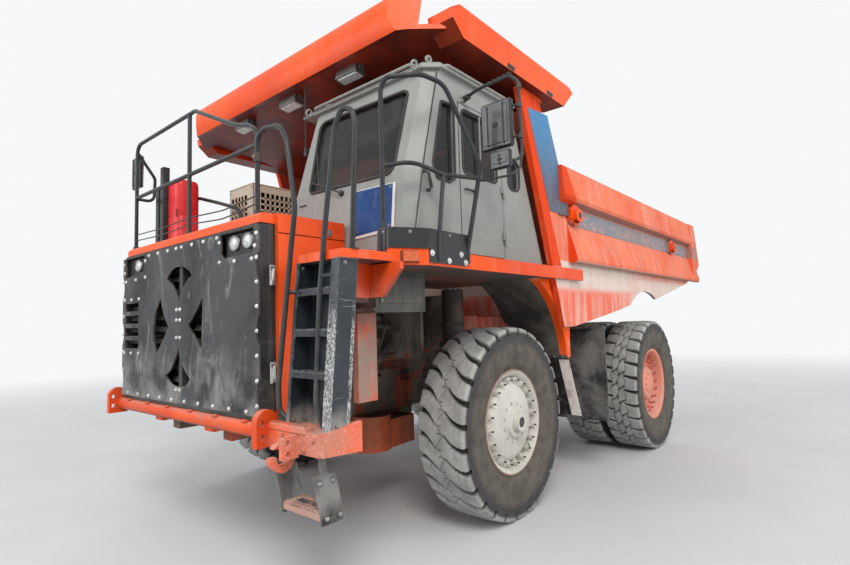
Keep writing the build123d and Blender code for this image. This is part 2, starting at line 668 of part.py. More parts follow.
side_cut = (CAB_X1 - W - 5, CAB_X1 + 5)
cab -= slab_x(door_out, *side_cut)
cab -= slab_x(oval_pane, *side_cut, corner=88)
cab -= slab_x(quarter_pane, *side_cut, corner=25)
cab -= slab_x(side_pane, CAB_X0 - 5, CAB_X0 + W + 5, corner=60)
front_hole = slab_y(windshield, -1600, -1150, corner=70)
rear_hole = slab_y(rear_pane, -160, 500, corner=60)
cab -= front_hole
cab -= rear_hole
HINGE = (CAB_X1 + 18, SEAM_Y + 8)
HINGE_R = 16
hinge_zs = (2560, 3000, 3600)
for z in hinge_zs:
    cab += rod((*HINGE, z), (*HINGE, z + 50), HINGE_R)
    cab += brick((CAB_X1 - 1, HINGE[0]), (HINGE[1] + 2, HINGE[1] + 14), (z, z + 50))
# Grab handle ahead of the door and the mirrors' bracket above it
cab += pipe([(CAB_X1 - 5, -1369, 3032), (CAB_X1 + 45, -1369, 3032), (CAB_X1 + 45, -1328, 2890),
             (CAB_X1 - 5, -1328, 2890)], 12)
cab += brick((CAB_X1 - 5, CAB_X1 + 30), (-850, -800), (3750, 3800))
save("cab_shell", cab)

door = slab_x(door_in, CAB_X1 - W, CAB_X1)
door -= slab_x(door_pane, *side_cut, corner=50)
for z in hinge_zs:
    door += rod((*HINGE, z + 50 + SEAT), (*HINGE, z + 110), HINGE_R)
    door += brick((CAB_X1 - 1, HINGE[0]), (HINGE[1] - 36, HINGE[1] - 16), (z + 50 + SEAT, z + 110))
    door += brick((CAB_X1 + 4, HINGE[0]), (HINGE[1] - 17, HINGE[1] - 4), (z + 50 + SEAT, z + 110))
save("cab_door", door)
save("door_glass", slab_x(door_pane, CAB_X1 - 34, CAB_X1 - 34 + GLASS_T, corner=50))

front_line = FRONT[1:3]
slope = (front_line[1][0] - front_line[0][0]) / (front_line[1][1] - front_line[0][1])
pane_front = [(front_line[0][0] + 20 + (z - front_line[0][1]) * slope, z) for z in (3000, 3880)]
pane_front += [(y + GLASS_T, z) for y, z in reversed(pane_front)]
slope_rear = (REAR_LOW_Y - REAR_TOP_Y) / (DECK_Z1 - 3880)
pane_rear = [(REAR_TOP_Y - 30 + (z - 3880) * slope_rear, z) for z in (3100, 3800)]
pane_rear += [(y + GLASS_T, z) for y, z in reversed(pane_rear)]
glass = [
    slab_x(pane_front, CAB_X0 + 10, CAB_X1 - 10) & front_hole,
    slab_x(pane_rear, CAB_X0 + 10, CAB_X1 - 10) & rear_hole,
    slab_x(oval_pane, CAB_X1 - 34, CAB_X1 - 34 + GLASS_T, corner=88),
    slab_x(quarter_pane, CAB_X1 - 34, CAB_X1 - 34 + GLASS_T, corner=25),
    slab_x(side_pane, CAB_X0 + 26, CAB_X0 + 26 + GLASS_T, corner=60),
]
save("cab_glass", glass)

SEAT_X = 1250
F = DECK_Z1 + W
inside = join(
    brick((SEAT_X - 240, SEAT_X + 240), (-750, -240), (F + 380, F + 500)),
    slab_x([(-260, F + 380), (-150, F + 380), (-90, F + 1120), (-130, F + 1160), (-190, F + 1120)],
           SEAT_X - 240, SEAT_X + 240),
    brick((SEAT_X - 130, SEAT_X + 130), (-660, -310), (F, F + 380)),
    brick((CAB_X0 + W, CAB_X1 - W), (-1385, -1200), (F, 3000)),
    rod((SEAT_X, -1250, 2990), (SEAT_X, -1010, 3120), 30),
    rod((SEAT_X, -1030, 3060), (SEAT_X, -1000, 3120), 210, 180),
    brick((SEAT_X - 200, SEAT_X + 200), (-1035, -1005), (3085, 3105)),
)
save("cab_interior", inside)


# Dump body

X_IN = BODY_X - BODY_T
FRONT_LOW = 735
side_line = [
    (FRONT_LOW, 1772),
    (1043, 1778),
    (2437, 1962),
    (2824, 2024),
    (3400, 2222, 3960, 2120),
    (5850, 2440),
    (TAIL_Y, 2790),
    (TAIL_Y - 280, BODY_TOP),
    (700, BODY_TOP),
    (440, 4130),
    (-20, 4150),
]
wall = slab_x(side_line, X_IN, BODY_X)
# Raised corner post along the front edge
post_line = [(FRONT_LOW, 1772), (950, 1830), (887, 2581), (239, 3964), (200, 4140), (-20, 4150)]
post = slab_x(post_line, BODY_X - 1, POST_X)
floor_low = [(1330, 1950), (3900, 2380), (TAIL_Y - 40, 2840)]
floor = slab_x(floor_low + [(TAIL_Y - 40, 2880), (3890, 2430), (1290, 2000)], -X_IN - 5, X_IN + 5)
front_wall = slab_x([(1330, 1940), (1370, 1970), (1370, 2200), (480, 4220), (430, 4220),
                     (1300, 2200)], -X_IN - 5, X_IN + 5)
shell = join(both(wall + post), floor, front_wall)
save("body_shell", shell)

# Box rails along each side, with their rounded lower lips
RAIL_Y1 = TAIL_Y - 220
rail_up = slab_y([(BODY_X - 5, 3110), (BODY_RAIL_X - 20, 3150), (BODY_RAIL_X, 3185),
                  (BODY_RAIL_X - 40, BODY_TOP), (BODY_X - 5, BODY_TOP)], 760, RAIL_Y1)
rail_low = slab_y([(BODY_X - 5, 2480), (BODY_RAIL_X - 30, 2465), (BODY_RAIL_X - 2, 2490,
                   BODY_RAIL_X, 2540), (BODY_X + 5, 2900), (BODY_X - 5, 2900)], 960, RAIL_Y1 + 70)
tail_post = slab_x([(TAIL_Y - 500, 2540), (TAIL_Y - 60, 2790), (TAIL_Y - 290, BODY_TOP - 5),
                    (TAIL_Y - 580, BODY_TOP - 5)], BODY_X - 5, BODY_RAIL_X - 10)
side_rails = join(rail_up, rail_low, tail_post) - wall - post
save("body_rails", both(side_rails))

RIB_YS = (1700, 2350, 3000, 3650, 4300, 4950, 5600)
ribs = []
for y in RIB_YS:
    low, high = floor_low[:2] if y < floor_low[1][0] else floor_low[1:]
    z = lie((y - low[0]) / (high[0] - low[0]), low, high)[1]
    ribs.append(brick((-X_IN, X_IN), (y - 60, y + 60), (z - 90, z + 25)))
ribs = join(ribs) - floor - shell
BEAM_X = (250, 330)
beam = slab_x([(1250, RAIL_Z1 + 260), (HOP_Y - 780, RAIL_Z1 + 130), (HOP_Y, HOP_Z + 10),
               (PIVOT_Y - 210, HOP_Z + 10), (PIVOT_Y - 100, PIVOT_Z - 100),
               (PIVOT_Y + 110, PIVOT_Z - 100), (PIVOT_Y + 160, PIVOT_Z + 140), (5600, 2500),
               (5600, 2700), (3900, 2390), (1250, 1950)], *BEAM_X)
beam += disc_x(BEAM_X[1] - 10, RAIL_X + 70, PIVOT_Y, PIVOT_Z, PIVOT_R)
save("body_beams", join(both(beam)) - floor - shell - ribs)
save("body_ribs", ribs)

# Canopy: sloping plate, deep front lip and a box rail on each side with a capped front
SLOPE = (4275 - 4130) / 1808
CANOPY_Y1 = 490
under = [(CANOPY_Y, CANOPY_Z0), (CANOPY_Y1, CANOPY_Z0 - SLOPE * (CANOPY_Y1 - CANOPY_Y))]
plate = slab_x(under + [(y, z + 40) for y, z in reversed(under)], -BODY_X, BODY_X)
lip = slab_x([(CANOPY_Y, CANOPY_Z0 - 10), (CANOPY_Y - 45, CANOPY_Z0 + 150, CANOPY_Y - 10, CANOPY_Z0 + 300),
              (CANOPY_Y + 70, CANOPY_Z0 + 325), (CANOPY_Y + 140, CANOPY_Z0 + 300),
              (CANOPY_Y + 110, CANOPY_Z0)], -BODY_X, BODY_X)
plan = slab_z([(-BODY_X, CANOPY_Y1), (-BODY_X, -1130), (-1650, CANOPY_Y - 50), (1650, CANOPY_Y - 50),
               (BODY_X, -1130), (BODY_X, CANOPY_Y1)], CANOPY_Z0 - 300, CANOPY_Z0 + 400)
side_rail = slab_x([(-1020, 4180), (-1160, 4300), (-1175, 4380), (-1000, 4490), (925, 4474),
                    (1062, 4390), (819, 4168)], BODY_X - 150, BODY_RAIL_X)
long_edges = []
for e in side_rail.edges():
    ends = e.vertices()
    if e.length > 1500 and ends[0].X > BODY_X and ends[0].Z > 4400:
        long_edges.append(e)
side_rail = fillet(long_edges, radius=60)
canopy = join((plate + lip) & plan, both(side_rail)) - shell
save("canopy", canopy)
LAMP_Y = CANOPY_Y + 175
work_lamps = []
for x in (950, 20, -880):
    work_lamps.append(slab_x([(LAMP_Y - 50, CANOPY_Z0 - 90), (LAMP_Y + 45, CANOPY_Z0 - 110),
                              (LAMP_Y + 60, CANOPY_Z0 + 20), (LAMP_Y - 40, CANOPY_Z0 + 20)],
                             x - 120, x + 120))
save("work_lamps", join(work_lamps) - canopy)

# Lifting eyes on the body's sides, each on its bracket plate
EYE_R = 35
EYES = ((1080, 3000), (4810, 2985))
eyes = []
for y, z in EYES:
    eye = slab_x([(y - 120, z - 90), (y + 120, z - 90), (y + 120, z + 100), (y - 120, z + 100)],
                 BODY_X - 1, BODY_X + 40, corner=40)
    eye += disc_x(BODY_X + 39, BODY_RAIL_X, y, z, 75)
    eye -= disc_x(BODY_X, BODY_RAIL_X + 5, y, z, EYE_R)
    eyes.append(eye)
eyes = join(eyes) - join(side_rails, wall, post)
save("lifting_eyes", both(eyes))


# Hoists

def along(t, x):
    """Point t millimetres up the hoist's line from its lower pin."""
    return (x, *lie(t / HOIST_LEN, HOIST_LOW, HOIST_TOP))


HOIST_LEN = math.hypot(HOIST_TOP[0] - HOIST_LOW[0], HOIST_TOP[1] - HOIST_LOW[1])
BARREL_R = 120
STAGE_R = 92
TIP_R = 62
hx = HOIST_X
barrel = rod(along(125, hx), along(HOIST_LEN - 170, hx), BARREL_R, STAGE_R + SEAT)
barrel += rod(along(115, hx), along(126, hx), BARREL_R)
barrel += rod(along(40, hx), along(116, hx), 55)
barrel += disc_x(hx - EYE_W, hx + EYE_W, *HOIST_LOW, 2 * PIN_R)
barrel -= disc_x(hx - 90, hx + 90, *HOIST_LOW, PIN_R + SEAT)
stage = rod(along(135, hx), along(HOIST_LEN - 130, hx), STAGE_R, TIP_R + SEAT)
tip = rod(along(140, hx), along(HOIST_LEN - 50, hx), TIP_R)
tip += disc_x(hx - EYE_W, hx + EYE_W, *HOIST_TOP, 75)
for name, shape in (("barrel", barrel), ("stage", stage), ("tip", tip)):
    for side, piece in zip(("left", "right"), both(shape)):
        save(f"hoist_{name}_{side}", piece)
lug_line = [(HOIST_TOP[0] - 150, HOIST_TOP[1] + 210), (HOIST_TOP[0] - 80, HOIST_TOP[1] - 45),
            (HOIST_TOP[0], HOIST_TOP[1] - 85, HOIST_TOP[0] + 80, HOIST_TOP[1] - 45),
            (HOIST_TOP[0] + 150, HOIST_TOP[1] + 210)]
lugs = []
for x in (hx - EYE_W - 40, hx + EYE_W + 10):
    lugs += both(slab_x(lug_line, x, x + 30))
floor_above = slab_x(floor_low + [(TAIL_Y - 40, 4000), (1330, 4000)], -X_IN, X_IN)
save("hoist_lugs", join(lugs) - floor_above - ribs)


# Tanks, boxes, flaps and what stands on the decks

save("fuel_tank", slab_y([(-1260, 860), (-1220, 820), (-940, 820), (-900, 860), (-900, 1290),
                          (-940, 1330), (-1220, 1330), (-1260, 1290)], 1330, 2250),
     brick((-901, -RAIL_OUT), (1400, 1480), (1100, 1300)))
save("belly_guard", slab_x([(-1150, 1110), (-350, 1060), (150, 980), (150, 740), (-360, 700),
                            (-1150, 810)], -RAIL_IN, RAIL_IN))
UNDER = (1370, 1700)
under_box = brick(UNDER, (-1660, -1090), (1955, DECK_Z0))
save("underdeck_boxes", both(under_box))
FLAP_Y = 1650          # rubber flaps ahead of the rear wheels
FLAP_T = 20
FLAP_X = (REAR_INNER_X - REAR_TYRE_W / 2 + 235, REAR_TYRE_X + REAR_TYRE_W / 2)
FLAP_Z = (AXLE_Z - 240, 1740)
save("rear_flaps",
     both(brick(FLAP_X, (FLAP_Y - FLAP_T / 2, FLAP_Y + FLAP_T / 2), FLAP_Z)),
     both(brick((RAIL_OUT, FLAP_X[1] - 20), (FLAP_Y + FLAP_T / 2, FLAP_Y + FLAP_T / 2 + 40),
                (1340, 1400))))

BOX_WALL = 12
grille_box = brick((-520, -70), (-1600, -1100), (HOOD_Z, 3310))
grille_box -= brick((-508, -82), (-1588, -1112), (HOOD_Z + BOX_WALL, 3310 - BOX_WALL))
for row in range(5):
    z = HOOD_Z + 90 + row * 105
    for col in range(4):
        x = -490 + col * 105
        y = -1565 + col * 115
        grille_box -= brick((x, x + 80), (-1605, -1595 + BOX_WALL), (z, z + 75))
        grille_box -= brick((-75 - BOX_WALL, -65), (y, y + 85), (z, z + 75))
save("grille_box", grille_box)
tank = rod((-930, -1900, HOOD_Z), (-930, -1900, 3430), 145)
save("red_tank", fillet(tank.edges().sort_by(Axis.Z)[-1], radius=50))
save("stack_posts", brick((-1180, -1110), (-2080, -2010), (HOOD_Z, 3580)))

MIRROR_Y = -920
mirrors = join(
    brick((2215, 2500), (MIRROR_Y - 20, MIRROR_Y + 40), (3200, 3660)),
    brick((2300, 2520), (-1030, -980), (2990, 3180)),
    pipe([(CAB_X1 + 30, -825, 3775), (2140, -850, 3800), (2460, -950, 3780), (2530, -960, 3700),
          (2545, -960, 3130), (2525, -1005, 3080), (2500, -1005, 3080)], 13),
    pipe([(2495, -900, 3560), (2535, -960, 3560)], 11),
    pipe([(2495, -900, 3300), (2542, -960, 3300)], 11),
)
save("mirror_left", mirrors - cab)
mirror_arm = pipe([(-1225, RAIL_Y, 3300), (-1380, -2200, 3300), (-1575, -2130, 3330),
                   (-1575, -2110, 3420)], 13) - front_rail
save("mirror_right", brick((-1700, -1450), (-2140, -2080), (3400, 3850)), mirror_arm)
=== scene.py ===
import math

import bmesh
import bpy
import numpy as np
from mathutils import Matrix, Vector


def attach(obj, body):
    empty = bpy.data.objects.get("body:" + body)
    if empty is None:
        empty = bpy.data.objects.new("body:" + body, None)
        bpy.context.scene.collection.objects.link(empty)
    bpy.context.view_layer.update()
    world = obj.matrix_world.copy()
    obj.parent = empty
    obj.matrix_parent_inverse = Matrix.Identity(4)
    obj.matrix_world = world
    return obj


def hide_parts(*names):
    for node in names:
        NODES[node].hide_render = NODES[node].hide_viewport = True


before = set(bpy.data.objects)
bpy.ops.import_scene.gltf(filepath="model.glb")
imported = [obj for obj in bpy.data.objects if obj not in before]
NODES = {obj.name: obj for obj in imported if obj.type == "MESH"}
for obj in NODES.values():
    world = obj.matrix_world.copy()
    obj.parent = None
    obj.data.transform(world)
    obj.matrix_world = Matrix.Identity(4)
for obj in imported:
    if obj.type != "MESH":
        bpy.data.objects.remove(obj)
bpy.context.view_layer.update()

# Pieces are drawn with x = 0 at the frame's middle and y = 0 at the front axle, in metres,
# and moved to the shared origin as they are made.
ORIGIN = Vector((0.21, 1.975, 0.0))

# Colours, linear
ORANGE = (0.86, 0.088, 0.004)
ORANGE_DEEP = (0.74, 0.06, 0.002)
FADED = (0.88, 0.27, 0.155)
CHALK = (0.74, 0.6, 0.53)
PALE = (0.93, 0.94, 0.95)
DUST = (0.36, 0.33, 0.28)
RUST = (0.14, 0.045, 0.018)
CAB_GREY = (0.285, 0.292, 0.275)
BLACK = (0.015, 0.016, 0.017)
RIM = (0.66, 0.65, 0.6)


# Materials

def darker(colour, share):
    return tuple(share * c for c in colour)


class Look:
    """A procedural material in the making, on the pieces' own coordinates."""

    def __init__(self, name, **sockets):
        self.mat = bpy.data.materials.new(name)
        self.mat.use_nodes = True
        self.tree = self.mat.node_tree
        self.shader = self.tree.nodes["Principled BSDF"]
        for key, value in sockets.items():
            self.shader.inputs[key.replace("_", " ")].default_value = value
        self.coord = self.node("ShaderNodeTexCoord").outputs["Object"]
        self.x, self.y, self.z = self.node("ShaderNodeSeparateXYZ", self.coord).outputs
        self.tone = None

    def node(self, kind, *values, **props):
        n = self.tree.nodes.new(kind)
        for key, value in props.items():
            setattr(n, key, value)
        for i, value in enumerate(values):
            self.put(n.inputs[i], value)
        return n

    def put(self, socket, value):
        if value is None:
            return
        if isinstance(value, bpy.types.NodeSocket):
            self.tree.links.new(value, socket)
        elif isinstance(value, tuple) and len(value) == 3 and socket.type == "RGBA":
            socket.default_value = (*value, 1.0)
        else:
            socket.default_value = value

    def calc(self, op, *values, clamp=False):
        return self.node("ShaderNodeMath", *values, operation=op, use_clamp=clamp).outputs[0]

    def mul(self, first, *others):
        """Product, each step kept within 0..1."""
        for other in others:
            first = self.calc("MULTIPLY", first, other, clamp=True)
        return first

    def most(self, first, *others):
        for other in others:
            first = self.calc("MAXIMUM", first, other, clamp=True)
        return first

    def line(self, value, factor, offset=None):
        """value * factor + offset."""
        scaled = self.calc("MULTIPLY", value, factor)
        return scaled if offset is None else self.calc("ADD", scaled, offset)

    def less(self, a, b):
        return self.calc("SUBTRACT", a, b)

    def noise(self, scale, detail=4.0, rough=0.55, stretch=None, twist=0.0):
        n = self.node("ShaderNodeTexNoise")
        where = self.coord
        if stretch:
            where = self.node("ShaderNodeMapping", self.coord, None, None, stretch).outputs[0]
        for key, value in (("Vector", where), ("Scale", scale), ("Detail", detail),
                           ("Roughness", rough), ("Distortion", twist)):
            self.put(n.inputs[key], value)
        return n.outputs["Fac"]

    def cells(self, scale):
        n = self.node("ShaderNodeTexVoronoi")
        self.put(n.inputs["Vector"], self.coord)
        self.put(n.inputs["Scale"], scale)
        return n.outputs["Distance"]

    def range(self, value, low, high, out_low=0.0, out_high=1.0):
        """value from low..high to out_low..out_high, smoothly and clamped."""
        return self.node("ShaderNodeMapRange", value, low, high, out_low, out_high,
                         interpolation_type="SMOOTHSTEP").outputs[0]

    def spots(self, scale, low, high, *noise, to=(0.0, 1.0)):
        """Patches of noise between two levels."""
        return self.range(self.noise(scale, *noise), low, high, *to)

    def mix(self, fac, a, b):
        n = self.node("ShaderNodeMix", data_type="RGBA")
        for i, value in ((0, fac), (6, a), (7, b)):
            self.put(n.inputs[i], value)
        return n.outputs[2]

    def base(self, a, b, *spots):
        """Ground colour a, turning to b in patches."""
        self.tone = self.mix(self.spots(*spots), a, b)

    def over(self, colour, *shares):
        """Lays a colour over what is there, by the product of the shares."""
        self.tone = self.mix(self.mul(*shares), self.tone, colour)

    def facing(self, axis, low, high):
        """1 where the surface faces along an axis, 0 elsewhere."""
        normal = self.node("ShaderNodeNewGeometry").outputs["Normal"]
        return self.range(self.node("ShaderNodeSeparateXYZ", normal).outputs[axis], low, high)

    def upward(self):
        return self.facing(2, 0.35, 0.95)

    def downward(self):
        return self.facing(2, -0.45, -0.85)

    def forward(self):
        return self.facing(1, -0.6, -0.8)

    def wide(self):
        """Distance from the frame's middle."""
        return self.calc("ABSOLUTE", self.calc("ADD", self.x, ORIGIN.x))

    def edges(self, radius):
        """1 along edges and corners, 0 on flats."""
        soft = self.node("ShaderNodeBevel", samples=3)
        soft.inputs["Radius"].default_value = radius
        hard = self.node("ShaderNodeNewGeometry").outputs["Normal"]
        dot = self.node("ShaderNodeVectorMath", soft.outputs[0], hard, operation="DOT_PRODUCT")
        return self.range(dot.outputs["Value"], 0.995, 0.86)

    def worn(self, radius, scale, low, high):
        """Edges rubbed in places."""
        return self.mul(self.edges(radius), self.spots(scale, low, high))

    def bump(self, height, strength, distance, under=None):
        n = self.node("ShaderNodeBump")
        for key, value in (("Strength", strength), ("Distance", distance), ("Height", height),
                           ("Normal", under)):
            self.put(n.inputs[key], value)
        return n.outputs[0]

    def grain(self, scale, strength, distance, detail=4.0, rough=0.55):
        """Fine bumps."""
        return self.bump(self.noise(scale, detail, rough), strength, distance)

    def gloss(self, scale, factor, rough):
        """Roughness that wanders up from rough."""
        return self.calc("ADD", self.line(self.noise(scale), factor), rough, clamp=True)

    def done(self, rough, normal=None):
        for key, value in (("Base Color", self.tone), ("Roughness", rough), ("Normal", normal)):
            self.put(self.shader.inputs[key], value)
        return self.mat


def paint(name, base, deep, dust=DUST, dusty=0.35, low=1.0, high=2.4, chips=0.5, under=RUST,
          rough=0.42, streaks=0.3, scuffs=0.0, film=0.25, underside_shade=None, foot=None):
    """Enamel on steel: tone changes, rain streaks, dust that thickens from high down to low,
    chipped edges. Downward faces get painted shade in the underside colour, and the deck's
    lowest part is soiled with foot."""
    m = Look(name, Specular_IOR_Level=0.22)
    m.base(base, deep, 0.9, 0.3, 0.7)
    m.over(dust, m.spots(5.0, 0.48, 0.72, 5.0, 0.6, (1.6, 1.6, 0.12)), streaks)
    coat = m.mul(m.line(m.range(m.z, high, low), 1 - film, film),
                 m.spots(3.5, 0.34, 0.68, 7.0, 0.62))
    coat = m.mul(m.line(m.upward(), 0.55, coat), dusty)
    coat = m.mul(coat, m.line(m.spots(38.0, 0.42, 0.66, 4.0, 0.7), 0.45, 0.7))
    m.over(dust, coat)
    if foot:
        run = m.spots(5.0, 0.4, 0.56, 7.0, 0.7, (1.6, 1.6, 0.3), 0.5)
        m.over(foot, m.range(m.z, 2.0, 1.94), m.range(run, 0, 1, 0.12, 0.8))
    # painted shade: downward faces darkened
    if underside_shade:
        m.over(underside_shade, m.downward(), m.spots(2.0, 0.2, 0.6, 5.0, to=(0.75, 1.0)))
    flake = m.mul(m.spots(26.0, 0.56, 0.6, 6.0, 0.66), m.spots(1.7, 0.58, 0.7))
    worn = m.mul(m.most(m.worn(0.012, 14.0, 0.4, 0.62), flake), chips)
    m.over(under, worn)
    if scuffs:
        mark = m.mul(m.spots(9.0, 0.6, 0.66, 5.0, 0.75, (0.5, 0.5, 9.0), 0.6),
                     m.spots(2.2, 0.45, 0.62))
        m.over((0.52, 0.51, 0.49), mark, scuffs)
    shine = m.line(coat, 0.45, m.line(m.noise(18.0), 0.12))
    height = m.less(m.line(m.noise(120.0), 0.1), m.line(worn, 0.5))
    return m.done(m.calc("ADD", shine, rough - 0.06, clamp=True), m.bump(height, 0.35, 0.002))


def tub(m, wide):
    """Scraped share of the tub's inner faces: its floor, front wall and sides."""
    normal = m.node("ShaderNodeNewGeometry").outputs["Normal"]
    nx, ny, nz = m.node("ShaderNodeSeparateXYZ", normal).outputs
    side = m.line(nx, m.calc("SIGN", m.calc("ADD", m.x, ORIGIN.x)))
    wall = m.mul(m.range(ny, 0.3, 0.5), m.range(m.y, 0.2, 0.0))
    inside = m.most(m.range(side, -0.6, -0.8), m.range(nz, 0.6, 0.8), wall)
    inside = m.mul(inside, m.mul(m.range(wide, 2.012, 2.006), m.range(m.z, 2.15, 2.2)))
    ragged = m.spots(2.4, 0.34, 0.52, 8.0, 0.72, (1, 1, 0.5), 0.5)
    return m.mul(inside, m.range(ragged, 0, 1, 0.35, 0.92))


def body_paint(name):
    """The tipping body's paint: faded to pink, chalky under the lower rail and towards the tail,
    bright on its front posts, scraped inside the tub, and darkened as painted shade in the rail's
    groove and on downward faces."""
    m = Look(name, Specular_IOR_Level=0.2)
    m.base((0.84, 0.2, 0.1), (0.78, 0.125, 0.045), 1.1, 0.32, 0.7)
    run = m.noise(7.0, 6.0, 0.65, (1.0, 1.0, 0.1))
    m.over((0.84, 0.4, 0.3), m.range(run, 0.44, 0.7), 0.45)
    red = m.mul(m.range(m.z, 2.24, 2.225), m.range(m.y, 1.3, 0.3))
    m.over((0.84, 0.13, 0.07), red, 0.85)
    patch = m.spots(1.8, 0.28, 0.52, 7.0, 0.62, (1, 1, 0.7))
    band = m.mul(m.range(m.z, 2.5, 2.46), m.range(m.z, 2.12, 2.24))
    low = m.mul(m.range(m.z, 2.4, 2.2), m.range(run, 0.4, 0.62))
    chalk = m.most(m.mul(band, m.range(patch, 0, 1, 0.72, 1)), m.mul(low, m.mul(patch, 0.55)))
    chalk = m.mul(chalk, m.mul(m.range(m.y, -2.15, -1.75), m.range(m.y, 2.2, 0.4, 0.35, 1.0)))
    pale = m.mul(m.range(m.y, 0.35, 1.35), m.range(m.z, 2.46, 2.36))
    m.over(CHALK, m.most(chalk, m.mul(pale, m.range(patch, 0, 1, 0.7, 0.95))))
    m.over((0.46, 0.36, 0.31), m.line(m.upward(), 0.7, 0.26), m.spots(4.5, 0.4, 0.7, 7.0, 0.65))
    # painted shade in the recess between the rails
    groove = m.mul(m.range(m.z, 3.14, 3.09), m.range(m.z, 2.87, 2.91))
    shade = m.mul(groove, m.spots(3.0, 0.3, 0.6, 6.0, 0.55, (1, 1, 0.5), to=(0.6, 0.9)))
    m.over((0.34, 0.23, 0.21), shade, m.range(m.y, -0.95, -0.75))
    # painted shade on downward faces, such as the rails' undersides
    m.over((0.21, 0.135, 0.12), m.downward(), 0.8)
    wide = m.wide()
    ahead = m.less(m.y, m.line(m.z, -0.379, -0.327))
    above = m.less(m.y, m.line(m.z, -0.433, 0.43))
    post = m.mul(m.range(ahead, 0.0, -0.006), m.range(m.z, 2.4, 2.42))
    post = m.most(post, m.mul(m.range(above, 0.0, -0.006), m.range(m.z, 2.97, 2.99)), m.forward())
    fresh = m.mix(m.range(run, 0.5, 0.72), (0.72, 0.052, 0.004), (0.8, 0.16, 0.08))
    m.over(fresh, m.mul(post, m.range(wide, 1.78, 1.8)), m.range(m.y, -0.6, -0.9))
    scraped = m.mix(m.spots(3.0, 0.4, 0.6, 8.0, 0.7, (1, 1, 0.4), 0.6), (0.27, 0.225, 0.2),
                    (0.46, 0.17, 0.1))
    m.over(scraped, tub(m, wide))
    rusty = m.mul(m.range(m.y, 2.6, 4.4), m.spots(11.0, 0.52, 0.6, 7.0, 0.7), 0.25)
    worn = m.most(rusty, m.mul(m.worn(0.014, 12.0, 0.36, 0.6), 0.75))
    m.over((0.2, 0.085, 0.045), worn)
    height = m.less(m.line(m.noise(60.0, 6.0), 0.25), m.line(worn, 0.4))
    normal = m.bump(m.noise(1.3, 2.0), 0.3, 0.05, m.bump(height, 0.4, 0.003))
    return m.done(m.gloss(20.0, 0.18, 0.56), normal)


def frame_look(name):
    """Frame and running gear: dried dust over oil and mud, orange left in patches."""
    m = Look(name, Specular_IOR_Level=0.2)
    m.base((0.23, 0.2, 0.165), (0.115, 0.095, 0.078), 2.2, 0.34, 0.66, 7.0, 0.65)
    bare = m.mul(m.spots(3.4, 0.5, 0.57, 7.0, 0.7, (1, 1, 0.6), 0.6),
                 m.mul(m.spots(0.9, 0.36, 0.55), m.range(m.z, 1.72, 1.52)))
    m.over((0.46, 0.075, 0.032), bare, 0.9)
    m.over((0.34, 0.31, 0.27), m.spots(8.0, 0.5, 0.7, 5.0, 0.6, (1.5, 1.5, 0.15)), 0.45)
    oil = m.spots(1.6, 0.56, 0.68, 6.0, 0.6)
    m.over((0.03, 0.027, 0.024), oil, 0.75)
    m.over(DUST, m.upward(), 0.6)
    height = m.line(bare, -0.3, m.noise(18.0, 7.0, 0.7))
    return m.done(m.range(oil, 0, 1, 0.85, 0.5), m.bump(height, 0.5, 0.006))


def fender_look(name):
    """Arch: bright outer plate, soiled inner sheet, black flap with a chalky strip below."""
    m = Look(name, Specular_IOR_Level=0.2)
    out = m.wide()
    m.base((0.045, 0.041, 0.037), (0.13, 0.118, 0.104), 3.0, 0.35, 0.65, 7.0, 0.66)
    bright = m.mix(m.spots(5.0, 0.5, 0.68, 6.0, 0.55, (1, 1, 0.5)), ORANGE, (0.62, 0.33, 0.24))
    m.over(bright, m.range(out, 1.906, 1.908), m.range(m.z, 1.435, 1.45))
    rubber = m.mix(m.spots(9.0, 0.5, 0.64, 7.0, 0.7), (0.022, 0.021, 0.02), (0.1, 0.095, 0.09))
    m.over(rubber, m.range(m.z, 1.435, 1.425))
    chalk = m.mix(m.spots(6.0, 0.5, 0.66, 7.0, 0.7, (1, 1, 0.4)), (0.9, 0.82, 0.76),
                  (0.62, 0.52, 0.46))
    m.over(chalk, m.range(m.z, 1.425, 1.415), m.range(out, 1.87, 1.874))
    m.over(RUST, m.worn(0.012, 14.0, 0.4, 0.6), 0.7)
    return m.done(0.6, m.grain(40.0, 0.3, 0.003, 6.0))


def tyre_rubber(name, tread, side):
    """Dusty tread, brownish sidewall with a darker shoulder ring, black grooves."""
    m = Look(name)
    groove, ring = (m.node("ShaderNodeAttribute", attribute_name=key).outputs["Fac"]
                    for key in ("groove", "ring"))
    dusty = m.spots(6.0, 0.3, 0.72, 7.0, 0.65)
    m.tone = m.mix(dusty, tread, darker(tread, 0.62))
    m.over((0.04, 0.04, 0.04), m.range(ring, 0.02, 0.1))
    wall = m.mix(m.spots(8.0, 0.35, 0.65, 6.0, 0.6), side, darker(side, 0.6))
    m.over(wall, m.range(ring, 0.22, 0.5))
    m.over((0.05, 0.042, 0.036), m.range(ring, 0.9, 0.99))
    m.over((0.009, 0.009, 0.008), groove, 0.97)
    m.over((0.34, 0.32, 0.28), m.spots(70.0, 0.6, 0.7, 5.0, 0.7), 0.5)
    return m.done(m.range(dusty, 0.0, 1.0, 0.72, 0.92), m.grain(90.0, 0.5, 0.003, 6.0, 0.7))


def metal_look(name, colour, other, rough=0.5, metallic=0.7, spots=RUST, spotty=0.5, fine=40.0):
    """Bare or galvanised metal with stains."""
    m = Look(name, Metallic=metallic)
    m.base(colour, other, 3.0, 0.3, 0.7, 5.0)
    m.over(spots, m.spots(9.0, 0.52, 0.62, 7.0, 0.68), spotty)
    m.over(DUST, m.upward(), m.noise(5.0), 0.6)
    return m.done(m.gloss(fine, 0.25, rough - 0.1), m.grain(fine * 2, 0.3, 0.0015, 5.0, 0.7))


